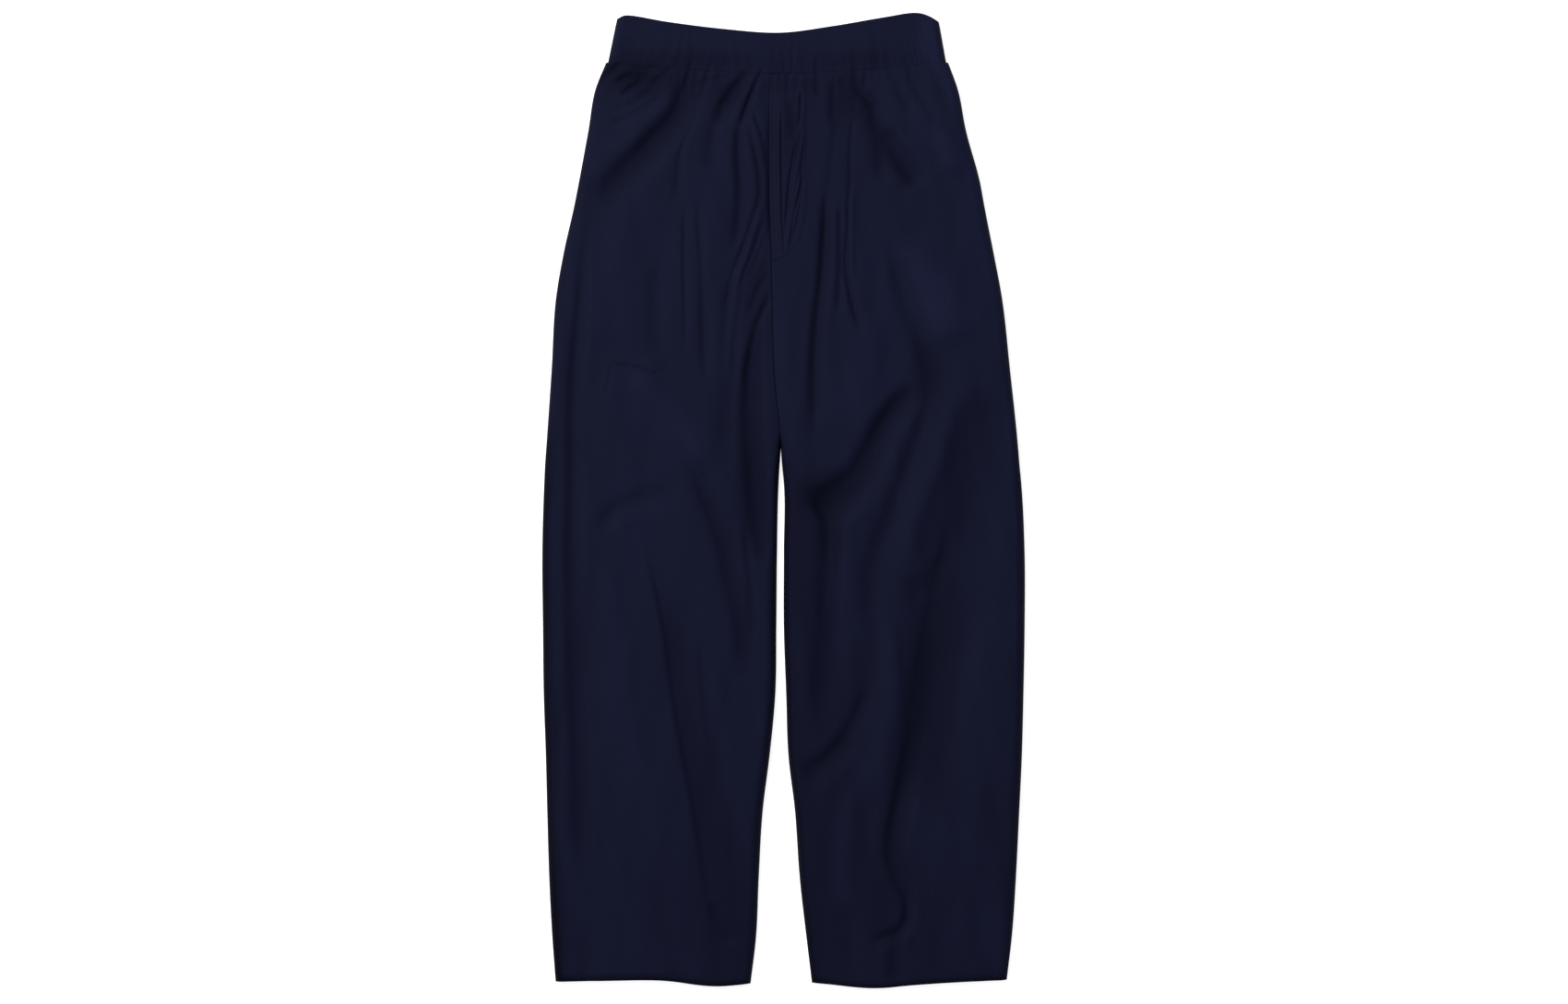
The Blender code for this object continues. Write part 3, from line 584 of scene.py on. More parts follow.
def inner_edge(toward_side, y):
    """X of a panel's inner edge: the middle seam above the crotch, and its own inseam below."""
    right = table_curve(SECTIONS, "height", "right_inner", y)
    left = table_curve(SECTIONS, "height", "left_inner", y)
    half = np.where(y > CROTCH_HEIGHT, 0, np.maximum(0, 0.5 * (left - right)))
    return 0.5 * (left + right) + toward_side * half


def seam_gaps(x, y, toward_side):
    """Distances of a panel's points from its side seam and from its inner edge."""
    side_gap = np.maximum(0, toward_side * (side_edge(toward_side, y) - x))
    return side_gap, np.maximum(0, toward_side * (x - inner_edge(toward_side, y)))


def waist_seam(x):
    """Y of the seam between waistband and panels at each x."""
    return table_curve(WAIST, "low_x", "low_y", x)


def hem_edge(x):
    """Y of the hems' lower edge at each x."""
    return table_curve(HEMS, "x", "y", x)


def path_lengths(points):
    """Length of a path of (x, y) points up to each of them."""
    return np.concatenate([[0], np.cumsum(np.hypot(*np.diff(points, axis=0).T))])


def fold_path(points):
    """Evenly spaced points on a smooth curve through the fold's own points."""
    points = np.array(points, dtype=float)
    length = path_lengths(points)
    at = np.linspace(0, length[-1], FOLD_PATH_STEPS)
    return smooth_curve(length, points[:, 0], at), smooth_curve(length, points[:, 1], at)


def fold_shape(fold, x, y, path_x, path_y):
    """Height of one fold at points near it.

    With q the distance from its bottom over half its width on that side, a rounded trough is
    (1 - bank q^2) exp(-q^2), and a crease is a peak exp(-fall q) with a low bank on each side.
    """
    overall = (path_x[-1] - path_x[0], path_y[-1] - path_y[0])
    slow_hand = 1 if overall[0] * SLOW_SIDE[1] > overall[1] * SLOW_SIDE[0] else -1
    nearest = np.full(x.shape, np.inf)
    share = np.zeros(x.shape)
    hand = np.zeros(x.shape)
    pieces = len(path_x) - 1
    for i in range(pieces):
        run_x = path_x[i + 1] - path_x[i]
        run_y = path_y[i + 1] - path_y[i]
        along = ((x - path_x[i]) * run_x + (y - path_y[i]) * run_y) / (run_x ** 2 + run_y ** 2)
        along = np.clip(along, 0, 1)
        off_x = x - path_x[i] - along * run_x
        off_y = y - path_y[i] - along * run_y
        away = np.hypot(off_x, off_y)
        closer = away < nearest
        nearest = np.where(closer, away, nearest)
        share = np.where(closer, (i + along) / pieces, share)
        hand = np.where(closer, np.sign(run_x * off_y - run_y * off_x), hand)
    width = 0.5 * fold.width * (1 + FOLD_SPREAD * (share - 0.5))
    bottom = BANK_SHARE * width if fold.depth > 0 else 0
    past = slow_hand * hand * nearest - bottom
    slow = blend(1, fold.slow, 0.5 + 0.5 * past / width)
    q = np.abs(past) / (width * slow)
    rounded = (1 - FOLD_BANK * q ** 2) * np.exp(-q ** 2)
    creased = np.exp(-CREASE_FALL * q) - CREASE_BANK * bell(q - CREASE_BANK_PLACE, CREASE_BANK_WIDTH)
    across = (1 - fold.crease) * rounded + fold.crease * creased
    ends = smooth_step(share / FOLD_END) * smooth_step((1 - share) / FOLD_END)
    return -fold.depth * ends * across


def relief(x, y):
    """Height that all folds and swells add at each point."""
    lift = np.zeros(x.shape)
    for fold in FOLDS:
        path_x, path_y = fold_path(fold.path)
        reach = FOLD_REACH * fold.width
        inside_x = (x > path_x.min() - reach) & (x < path_x.max() + reach)
        near = inside_x & (y > path_y.min() - reach) & (y < path_y.max() + reach)
        if near.any():
            lift[near] += fold_shape(fold, x[near], y[near], path_x, path_y)
    for swell in SWELLS:
        turn = 2 * math.pi * (x / swell.x_length + y / swell.y_length)
        lift = lift + swell.height * np.sin(add_waves(y, turn + swell.phase, SWELL_BEND))
    return lift


def painted_light_and_shade(x, y):
    """Painted light and shade at each point: bells of the named patches, plus painted shade in the folds
    and painted light on the ridges, and painted tone at the hems and along the rims.
    """
    painted_tone = EVEN_PAINTED_TONE + FOLD_PAINTED_SHADE_SHARE * np.tanh(relief(x, y) / FOLD_PAINTED_SHADE_SCALE)
    painted_tone = painted_tone - HEM_PAINTED_SHADE * bell(y - hem_edge(x), HEM_PAINTED_SHADE_REACH)
    for painted_rim in PAINTED_RIMS:
        edge = side_edge(painted_rim.toward_side, y) if painted_rim.outer else inner_edge(painted_rim.toward_side, y)
        change = blend(painted_rim.hip, painted_rim.leg, (PAINTED_RIM_LEG_TOP - y) / PAINTED_RIM_LEG_EASE)
        painted_tone = painted_tone + change * bell(x - edge, PAINTED_RIM_REACH)
    for painted_patch in PAINTED_TONES:
        turn = math.radians(painted_patch.turn)
        off_x = x - painted_patch.x
        off_y = y - painted_patch.y
        across = (off_x * math.cos(turn) + off_y * math.sin(turn)) / painted_patch.across
        along = (off_y * math.cos(turn) - off_x * math.sin(turn)) / painted_patch.along
        painted_tone = painted_tone + painted_patch.change * np.exp(-across ** 2 - along ** 2)
    return np.clip(painted_tone, -DEEPEST_PAINTED_SHADE, 1)


def waist_ripples(x, below_waist):
    """Small uneven gathers under the waistband: a sine across, which fades downward."""
    phase = add_waves(x, 2 * math.pi * x / RIPPLE_PITCH, RIPPLE_BEND)
    uneven = add_waves(x, *RIPPLE_SHARE)
    fade = bell(below_waist, RIPPLE_LENGTH * add_waves(x, *RIPPLE_FADE))
    return RIPPLE_HEIGHT * uneven * fade * np.sin(phase + below_waist / RIPPLE_LEAN)


def fly_fade(y):
    """How much of the fly's relief shows at each y: less near the waist."""
    return 1 - FLY_TOP_FADE * smooth_step((y - FLY_FADE_START) / FLY_FADE_LENGTH)


def front_height(x, y, toward_side):
    """Outer height of a front at each point.

    A quarter ellipse rises from the side seam, and from the inseam below the crotch, to a level middle.
    The folds are added there, eased so that the cloth stays off the back. Grooves mark the seams.
    """
    side_gap, inner_gap = seam_gaps(x, y, toward_side)
    below_waist = np.maximum(0, waist_seam(x) - y)
    above_hem = y - hem_edge(x)
    level = blend(PANEL_TOP_HEIGHT, BODY_HEIGHT, below_waist / WAIST_RISE)
    level = level + blend(HEM_HEIGHT - BODY_HEIGHT, 0, above_hem / HEM_RISE)
    level = level - HEM_DROP * (1 - smooth_step(above_hem / HEM_DROP_LENGTH)) ** 2
    lift_off = smooth_step((y - CROTCH_HEIGHT) / FRONT_LIFT)
    pinch = 1 - CROTCH_PINCH * bell(y - CROTCH_HEIGHT, CROTCH_PINCH_REACH)
    inner_roll = lift_off + (1 - lift_off) * quarter_round(inner_gap / (FRONT_ROLL * pinch))
    roll = quarter_round(side_gap / FRONT_ROLL) * inner_roll
    lift = relief(x, y) - SEAM_VALLEY_DEPTH * lift_off * bell(inner_gap, SEAM_VALLEY_WIDTH)
    lift = lift * smooth_step(side_gap / EDGE_EASE) * blend(lift_off, 1, inner_gap / EDGE_EASE)
    lift = lift * blend(WAIST_RELIEF, 1, below_waist / WAIST_EASE)
    room_below = level - LOWEST_TROUGH
    sunk = room_below * np.tanh(lift / room_below)
    raised = TALLEST_RIDGE * np.tanh(lift / TALLEST_RIDGE)
    ripples = waist_ripples(x, below_waist) * smooth_step(side_gap / RIPPLE_SIDE_EASE)
    middle_groove = lift_off * fly_fade(y) * (1 - quarter_round(inner_gap / SEAM_GROOVE_WIDTH))
    waist_groove = WAIST_GROOVE_DEPTH * (1 - quarter_round(below_waist / SEAM_GROOVE_WIDTH))
    groove = np.maximum(SEAM_GROOVE_DEPTH * middle_groove, waist_groove) * roll
    return SEAM_HEIGHT + (level - SEAM_HEIGHT) * roll + np.where(lift < 0, sunk, raised) + ripples - groove


def back_height(x, y, toward_side):
    """Height of a back's underside: flat on the surface, rolled up at its seams as a quarter ellipse."""
    side_gap, inner_gap = seam_gaps(x, y, toward_side)
    drop = smooth_step((y - CROTCH_HEIGHT) / BACK_DROP)
    side = 1 - quarter_round(side_gap / BACK_ROLL)
    inner = (1 - drop) * (1 - quarter_round(inner_gap / BACK_ROLL))
    return SEAM_HEIGHT * np.maximum(side, inner)


# How a front and a back differ. Up is 1 where the outer side faces up. Lift is how far above the crotch
# the middle seam takes to turn from the inseam's direction.
Panel = namedtuple("Panel", "height up roll columns rows lift")
FRONT = Panel(front_height, 1, FRONT_ROLL, 104, 376, FRONT_LIFT)
BACK = Panel(back_height, -1, BACK_ROLL, 36, 120, BACK_DROP)


def rolled_columns(width, roll, steps):
    """Distances from the side across each row: by equal angles on the rolled edges, even between."""
    edge = roll * (1 - np.cos(np.linspace(0, 0.5 * math.pi, ROLL_STEPS + 1)))
    even = np.linspace(0, 1, steps + 1)[1:-1]
    middle = roll + (width - 2 * roll)[:, None] * even[None, :]
    side = np.tile(edge, (len(width), 1))
    inner = width[:, None] - np.tile(edge[::-1], (len(width), 1))
    return np.hstack([side, middle, inner])


def panel_plan(panel, toward_side):
    """X and y of a panel's points: rows from the waist seam to the hem, columns from side to inner edge."""
    top = SECTIONS[0].height
    bottom = SECTIONS[-1].height
    near_top = top - np.array(NEAR_SEAM_ROWS)
    edge_y = np.concatenate([near_top, np.linspace(top - EVEN_ROWS_START, bottom, panel.rows)])
    side_x = side_edge(toward_side, edge_y)
    inner_x = inner_edge(toward_side, edge_y)
    gaps = rolled_columns(np.abs(inner_x - side_x), panel.roll, panel.columns)
    x = side_x[:, None] - toward_side * gaps
    y = np.tile(edge_y[:, None], (1, gaps.shape[1]))
    waist_share = smooth_step((edge_y - WAIST_SHIFT_END) / (top - WAIST_SHIFT_END))[:, None]
    hem_share = smooth_step((HEM_SHIFT_START - edge_y) / (HEM_SHIFT_START - bottom))[:, None]
    y = y + waist_share * (waist_seam(x) - top)
    y = y + hem_share * (hem_edge(x) + HEM_TURN - bottom)
    return x, y, edge_y


def surface_normals(points, up):
    """Unit normals of a grid of points, pointing up or down."""
    normals = np.cross(np.gradient(points, axis=1), np.gradient(points, axis=0))
    normals = normals / np.maximum(1e-9, np.linalg.norm(normals, axis=2, keepdims=True))
    flip = np.sign(normals[:, :, 2:3]) * up
    return normals * np.where(flip == 0, 1, flip)


def seam_normals(points, edge_y, panel, toward_side):
    """Normals with those on the seams set square to the next piece: level at the sides and inseams."""
    normals = surface_normals(points, panel.up)
    above = smooth_step((edge_y - CROTCH_HEIGHT) / panel.lift)[:, None]
    level = np.array([toward_side, 0, 0])
    normals[:, 0] = level
    turned = above * np.array([0, 0, panel.up]) - (1 - above) * level
    normals[:, -1] = turned / np.linalg.norm(turned, axis=1, keepdims=True)
    return normals


def half_circle(edge, normals, ahead, radius):
    """Rows of points that carry an edge round half a circle, from the cloth's outer to its inner side."""
    centre = edge - radius * normals
    ahead = np.array(ahead)
    return np.array([centre + radius * (math.cos(a) * normals + math.sin(a) * ahead) for a in TURN_ANGLES])


def turn_hem(points, normals):
    """Adds a turned hem below the last row: half a circle round the edge, then the inner layer up."""
    edge_normals = normals[-1] * [1, 0, 1]
    edge_normals = edge_normals / np.linalg.norm(edge_normals, axis=1, keepdims=True)
    turn = half_circle(points[-1], edge_normals, [0, -1, 0], HEM_TURN)
    up_share = np.linspace(0, 1, HEM_ROWS + 1)[1:]
    step = points[-2, 0, 1] - points[-1, 0, 1]
    back_rows = np.rint(up_share * HEM_DEPTH / step).astype(int)
    inner = [points[-1 - k] - 2 * HEM_TURN * normals[-1 - k] for k in back_rows]
    return np.concatenate([points, turn, np.array(inner)])


def grid_faces(rows, columns):
    """Quads of a grid whose points are numbered row by row."""
    first = (np.arange(rows - 1)[:, None] * columns + np.arange(columns - 1)[None, :]).ravel()
    return np.stack([first, first + 1, first + 1 + columns, first + columns], axis=1)


def add_mesh(name, points, faces, material):
    """One object at the origin from points in millimetres and faces of four corners each."""
    mesh = bpy.data.meshes.new(name)
    mesh.vertices.add(len(points))
    mesh.vertices.foreach_set("co", (points * MM).astype(np.float32).ravel())
    mesh.loops.add(faces.size)
    mesh.loops.foreach_set("vertex_index", faces.astype(np.int32).ravel())
    mesh.polygons.add(len(faces))
    mesh.polygons.foreach_set("loop_start", (np.arange(len(faces)) * 4).astype(np.int32))
    mesh.update(calc_edges=True)
    mesh.validate()
    mesh.shade_smooth()
    mesh.materials.append(material)
    piece = bpy.data.objects.new(name, mesh)
    bpy.context.scene.collection.objects.link(piece)
    return piece


def add_cloth(name, points, up, thickness, material):
    """A sheet from a grid of points, its thickness on the inner side and, where it faces up, its painted
    light and shade.
    """
    rows, columns = points.shape[:2]
    faces = grid_faces(rows, columns)
    middle = (rows // 3, columns // 2)
    along = points[middle[0], middle[1] + 1] - points[middle]
    down = points[middle[0] + 1, middle[1]] - points[middle]
    if np.cross(along, down)[2] * up < 0:
        faces = faces[:, ::-1]
    piece = add_mesh(name, points.reshape(-1, 3), faces, material)
    # Painted light and shade where the piece faces up, an even middle tone elsewhere
    painted_tone = painted_light_and_shade(points[:, :, 0], points[:, :, 1]) if up > 0 else np.full((rows, columns), EVEN_PAINTED_TONE)
    mark = piece.data.attributes.new("painted_tone", "FLOAT", "POINT")
    mark.data.foreach_set("value", painted_tone.astype(np.float32).ravel())
    solidify = piece.modifiers.new("thickness", "SOLIDIFY")
    solidify.thickness = thickness * MM
    solidify.offset = -1
    return piece


def make_panel(name, panel, toward_side, material):
    """A front or a back: its plan raised to its height, with its hem turned inside."""
    x, y, edge_y = panel_plan(panel, toward_side)
    points = np.stack([x, y, panel.height(x, y, toward_side)], axis=2)
    normals = seam_normals(points, edge_y, panel, toward_side)
    return add_cloth(name, turn_hem(points, normals), panel.up, CLOTH, material)


def band_plan(across, up):
    """X and y of waistband points and their distance from its ends, from shares across and up the band."""
    stations = np.linspace(0, 1, len(WAIST))
    low_x, low_y, top_x, top_y = [smooth_curve(stations, column, across) for column in zip(*WAIST)]
    x = low_x + (top_x - low_x) * up
    return x, low_y + (top_y - low_y) * up, np.minimum(x - x[:, :1], x[:, -1:] - x)


def band_gathers(across, up):
    """Soft uneven gathers of the elastic band: sines across whose pitch and height wander."""
    phase = add_waves(across, 2 * math.pi * BAND_GATHERS * across, BAND_BEND)
    fine = add_waves(across, 2 * math.pi * BAND_FINE_GATHERS * across, BAND_FINE_BEND)
    bend = BAND_LEAN * np.sin(BAND_LEAN_RATES[0] * across + BAND_LEAN_RATES[1] * up)
    uneven = add_waves(across, *BAND_SHARE)
    fine_wave = np.sin(BAND_FINE_RATES[0] * across + BAND_FINE_RATES[1] * up)
    fine_share = BAND_FINE_SHARE * (0.5 + 0.5 * fine_wave)
    fade = blend(BAND_TOP_SHARE, 1, (BAND_FADE_START - up) / BAND_FADE_LENGTH)
    return BAND_GATHER_HEIGHT * fade * (uneven * np.sin(phase + bend) + fine_share * np.sin(fine - bend))


def lower_rows(outer, radius):
    """The rows moved down towards the seam, the last one by the radius that its turn needs."""
    lowered = outer.copy()
    lowered[:, :, 1] -= radius * np.linspace(0, 1, len(outer))[:, None]
    return lowered


def band_front(name, material):
    """Front half of the waistband: one cloth folded over at the top, with its gathers on the outside.

    It rises from the side seams as a quarter ellipse to a slightly rounded face, and the folds of the
    panels run a little way up into it.
    """
    across = np.linspace(0, 1, BAND_COLUMNS + 1)[None, :]
    up = np.concatenate([BAND_SEAM_ROWS, np.linspace(BAND_ROWS_START, 1, BAND_ROWS)])[:, None]
    x, y, side_gap = band_plan(across, up)
    roll = quarter_round(side_gap / BAND_ROLL)
    face = blend(PANEL_TOP_HEIGHT, BAND_HEIGHT, up / BAND_RISE) + BAND_BULGE * np.sin(math.pi * up)
    plain = SEAM_HEIGHT + (face - SEAM_HEIGHT) * roll
    seam_gap = np.maximum(0, y - waist_seam(x))
    pleats = WAIST_RELIEF * relief(x, y) * bell(seam_gap, BAND_PLEAT_REACH)
    groove = WAIST_GROOVE_DEPTH * (1 - quarter_round(seam_gap / SEAM_GROOVE_WIDTH))
    gathers = band_gathers(across, up) + np.clip(pleats, *BAND_PLEAT_LIMITS) - groove
    outer = np.stack([x, y, plain + gathers * smooth_step(side_gap / BAND_GATHER_EASE)], axis=2)
    base = np.stack([x, y, plain], axis=2)
    normals = surface_normals(base, 1)
    normals[:, 0] = (-1, 0, 0)
    normals[:, -1] = (1, 0, 0)
    radius = 0.5 * BAND_CLOTH
    lowered = lower_rows(outer, radius)
    turn = half_circle(lowered[-1], normals[-1], [0, 1, 0], radius)
    inner = (base - BAND_CLOTH * normals)[::-1][2:]
    return add_cloth(name, np.concatenate([lowered, turn, inner]), 1, CLOTH, material)


def band_back(name, material):
    """Back half of the waistband: the same folded cloth, flat on the surface."""
    ends = np.array(BACK_BAND_END_COLUMNS)
    even = np.linspace(BACK_BAND_COLUMNS_START, 1 - BACK_BAND_COLUMNS_START, BACK_BAND_COLUMNS)
    across = np.concatenate([ends, even, 1 - ends[::-1]])[None, :]
    up = np.linspace(0, 1, BACK_BAND_ROWS)[:, None]
    x, y, side_gap = band_plan(across, up)
    under = BACK_BAND_END_LIFT * SEAM_HEIGHT * (1 - quarter_round(side_gap / BACK_BAND_ROLL))
    radius = 0.5 * SEAM_HEIGHT
    lowered = lower_rows(np.stack([x, y, under], axis=2), radius)
    top = lowered[-1]
    middle = 0.5 * (top[:, 2] + SEAM_HEIGHT)
    half = 0.5 * (SEAM_HEIGHT - top[:, 2])
    turn = [
        np.stack([top[:, 0], top[:, 1] + radius * math.sin(a), middle - half * math.cos(a)], axis=1)
        for a in TURN_ANGLES
    ]
    dents = np.minimum(0, band_gathers(across, up) - BACK_BAND_GATHER_DROP)
    ripple = BACK_BAND_GATHER_SHARE * dents * smooth_step(side_gap / BACK_BAND_EASE)
    inner = np.stack([x, y, SEAM_HEIGHT + ripple], axis=2)[::-1][2:]
    return add_cloth(name, np.concatenate([lowered, turn, inner]), -1, BACK_BAND_CLOTH, material)


def fly_width(y):
    """Width of the fly at each y: straight, then a quarter ellipse in to the middle seam."""
    curve = np.clip((FLY_STRAIGHT_END - y) / FLY_CURVE, 0, FLY_CURVE_SHARE)
    return FLY_WIDTH * np.sqrt(1 - curve ** 2)


def fly_rise(seam_gap, border_gap, y):
    """Height of the fly over the panel: a raised placket by the seam, a flat face, a stitched border."""
    body = blend(FLY_EDGE_LIFT, FLY_LIFT, border_gap / FLY_EDGE_EASE)
    inside = quarter_round(seam_gap / FLY_SEAM_ROLL)
    ridge = smooth_step((FLY_PLACKET_WIDTH - seam_gap) / FLY_PLACKET_EASE)
    ridge = ridge * smooth_step((y - FLY_STRAIGHT_END + FLY_CURVE) / FLY_END_EASE)
    groove = FLY_GROOVE_DEPTH * bell(seam_gap - FLY_PLACKET_WIDTH - FLY_GROOVE_GAP, FLY_GROOVE_WIDTH)
    stitched = BORDER_DENT * bell(border_gap - FLY_STITCH_INSET, DENT_WIDTH)
    for inset in FLY_ROWS_INSET:
        stitched = stitched + STITCH_DENT * bell(seam_gap - inset, DENT_WIDTH)
    pucker = FLY_PUCKER * np.sin(add_waves(y, 2 * math.pi * y / FLY_PUCKER_PITCH, FLY_PUCKER_BEND))
    pucker = pucker * bell(border_gap - FLY_STITCH_INSET, FLY_PUCKER_WIDTH)
    return body + fly_fade(y) * (FLY_PLACKET_RISE * ridge * inside - groove) - stitched + pucker


def fly_surface(x, y):
    """Outer height of the fly at each point: the front under it, plus the fly's own rise."""
    seam_gap = x - inner_edge(1, y)
    border_gap = np.maximum(0, fly_width(y) - seam_gap)
    return front_height(x, y, 1) + fly_rise(np.maximum(0, seam_gap), border_gap, y)


def fly_piece(name, material):
    """The mock fly: rows from the waist seam down, each from the middle seam to the curved border."""
    rows = np.linspace(0, 1, FLY_ROWS + 1)
    end = FLY_STRAIGHT_END - FLY_CURVE_SHARE * FLY_CURVE
    y = FLY_TOP + (end - FLY_TOP) * (rows + FLY_ROWS_BUNCH * np.sin(math.pi * rows))
    share = np.linspace(0, 1, FLY_COLUMNS + 1)[None, :]
    seam = inner_edge(1, y)
    x = seam[:, None] + FLY_SEAM_GAP + share * (fly_width(y)[:, None] - FLY_SEAM_GAP)
    y = np.tile(y[:, None], (1, FLY_COLUMNS + 1))
    points = np.stack([x, y, fly_surface(x, y)], axis=2)
    return add_cloth(name, points, 1, FLY_CLOTH, material)


def surface_frame(height, x, y):
    """Points and unit normals of a height function at each (x, y)."""
    step = SLOPE_STEP
    z = height(x, y)
    slope_x = (height(x + step, y) - height(x - step, y)) / (2 * step)
    slope_y = (height(x, y + step) - height(x, y - step)) / (2 * step)
    normals = np.stack([-slope_x, -slope_y, np.ones_like(z)], axis=1)
    normals = normals / np.linalg.norm(normals, axis=1, keepdims=True)
    return np.stack([x, y, z], axis=1), normals


def stitch_marks(path, pitch):
    """Middles and directions of stitches along a path of (x, y) points, spaced by their pitch."""
    length = path_lengths(path)
    count = max(1, int(length[-1] / pitch))
    at = (np.arange(count) + 0.5) * length[-1] / count
    places = [np.interp(at, length, column) for column in path.T]
    ahead = [
        np.interp(at + STITCH_LOOK, length, column) - np.interp(at - STITCH_LOOK, length, column)
        for column in path.T
    ]
    return *places, *ahead


def stitch_row(name, marks, height, material, length=STITCH_LENGTH, thread=THREAD):
    """A row of stitches as one mesh: each is a small round-ended rod that dips into the cloth.

    Along a stitch t runs from -1 to 1, its radius is thread (1 - t^4), and its middle line lies
    thread (lift - dip t^2) above the cloth. Two quads close each of its six-sided ends.
    """
    x, y, ahead_x, ahead_y = marks
    centre, normals = surface_frame(height, x, y)
    ahead = np.stack([ahead_x, ahead_y, np.zeros_like(x)], axis=1)
    ahead = ahead - normals * np.sum(ahead * normals, axis=1, keepdims=True)
    ahead = ahead / np.linalg.norm(ahead, axis=1, keepdims=True)
    beside = np.cross(normals, ahead)
    rings, sides = STITCH_RINGS, STITCH_SIDES
    t = np.linspace(-STITCH_END, STITCH_END, rings)[:, None]
    turn = np.linspace(0, 2 * math.pi, sides, endpoint=False)[None, :]
    radius = thread * (1 - t ** 4) + STITCH_TIP
    along = 0.5 * length * t + 0 * turn
    across = radius * np.cos(turn)
    up = radius * np.sin(turn) + thread * (THREAD_LIFT - THREAD_DIP * t ** 2)
    local = np.stack([along.ravel(), across.ravel(), up.ravel()], axis=1)
    points = (
        centre[:, None, :]
        + ahead[:, None, :] * local[None, :, 0:1]
        + beside[:, None, :] * local[None, :, 1:2]
        + normals[:, None, :] * local[None, :, 2:3]
    )
    ring = np.arange(rings - 1)[:, None] * sides
    side = np.arange(sides)[None, :]
    after = (side + 1) % sides
    quads = np.stack([ring + side, ring + after, ring + sides + after, ring + sides + side], axis=2)
    start_cap = np.array([[0, 5, 4, 1], [1, 4, 3, 2]])
    end_cap = (rings - 1) * sides + np.array([[0, 1, 4, 5], [1, 2, 3, 4]])
    one = np.concatenate([quads.reshape(-1, 4), start_cap, end_cap])
    faces = one[None, :, :] + (np.arange(len(x)) * rings * sides)[:, None, None]
    row = add_mesh(name, points.reshape(-1, 3), faces.reshape(-1, 4)[:, ::-1], material)
    settle(row, "cloth")
    return row


def new_material(name, values):
    """A material, its node tree and its shader, with constant inputs of the shader set directly."""
    material = bpy.data.materials.new(name)
    material.use_nodes = True
    tree = material.node_tree
    shader = tree.nodes["Principled BSDF"]
    for key, value in values.items():
        shader.inputs[key].default_value = value
    return material, tree, shader


def add_node(tree, kind, inputs=None, **settings):
    """A shader node with its settings and the values of its unlinked inputs."""
    node = tree.nodes.new(kind)
    for key, value in settings.items():
        setattr(node, key, value)
    for key, value in (inputs or {}).items():
        node.inputs[key].default_value = value
    return node


def math_node(tree, operation, first, second):
    """A math node of two values, each a socket or a number."""
    node = add_node(tree, "ShaderNodeMath", operation=operation)
    for socket, value in zip(node.inputs, (first, second)):
        if isinstance(value, (int, float)):
            socket.default_value = value
        else:
            tree.links.new(value, socket)
    return node.outputs[0]


def noise_node(tree, place, noise):
    """A noise texture's value at each place."""
    inputs = {"Scale": noise.scale, "Detail": noise.detail, "Roughness": noise.roughness}
    node = add_node(tree, "ShaderNodeTexNoise", inputs)
    tree.links.new(place, node.inputs["Vector"])
    return node.outputs["Fac"]


def woven_cloth(name, rumple_bump):
    """Dark matt woven cloth: a plain weave and fine rumples in its bump, and painted light and shade from
    the painted tone attribute with a soft random variation.
    """
    material, tree, shader = new_material(name, CLOTH_SHADER)
    place = add_node(tree, "ShaderNodeTexCoord").outputs["Object"]
    split = add_node(tree, "ShaderNodeSeparateXYZ")
    tree.links.new(place, split.inputs[0])
    yarns = []
    for axis in ("X", "Y"):
        turned = math_node(tree, "MULTIPLY", split.outputs[axis], 2 * math.pi / WEAVE_PITCH)
        yarns.append(math_node(tree, "SINE", turned, 0))
    weave = math_node(tree, "MULTIPLY", yarns[0], yarns[1])
    slub = noise_node(tree, place, SLUB)
    stretch = add_node(tree, "ShaderNodeMapping", {"Scale": RUMPLE_STRETCH})
    tree.links.new(place, stretch.inputs["Vector"])
    rumples = noise_node(tree, stretch.outputs[0], RUMPLES)
    clouds = noise_node(tree, place, CLOUDS)
    # Colour ramp from painted shade through the cloth's own navy to painted light
    ramp = add_node(tree, "ShaderNodeValToRGB")
    ramp.color_ramp.elements[0].color = (*NAVY_PAINTED_SHADE, 1)
    ramp.color_ramp.elements[1].color = (*NAVY_PAINTED_LIGHT, 1)
    ramp.color_ramp.elements.new(DEEPEST_PAINTED_SHADE / (1 + DEEPEST_PAINTED_SHADE)).color = (*NAVY, 1)
    painted_tone = add_node(tree, "ShaderNodeAttribute", attribute_name="painted_tone")
    uneven = math_node(tree, "ADD", math_node(tree, "MULTIPLY", slub, PATCHINESS), -PATCHINESS)
    uneven = math_node(tree, "ADD", math_node(tree, "MULTIPLY", clouds, PATCHINESS), uneven)
    painted_tone_share = math_node(tree, "ADD", painted_tone.outputs["Fac"], uneven)
    painted_tone_share = math_node(tree, "ADD", painted_tone_share, DEEPEST_PAINTED_SHADE)
    tree.links.new(math_node(tree, "DIVIDE", painted_tone_share, 1 + DEEPEST_PAINTED_SHADE), ramp.inputs["Fac"])
    tree.links.new(ramp.outputs["Color"], shader.inputs["Base Color"])
    normal = None
    for height, size in ((rumples, rumple_bump), (slub, SLUB_BUMP), (weave, WEAVE_BUMP)):
        bump = add_node(tree, "ShaderNodeBump", {"Distance": size.distance, "Strength": size.strength})
        tree.links.new(height, bump.inputs["Height"])
        if normal is not None:
            tree.links.new(normal, bump.inputs["Normal"])
        normal = bump.outputs["Normal"]
    tree.links.new(normal, shader.inputs["Normal"])
    return material


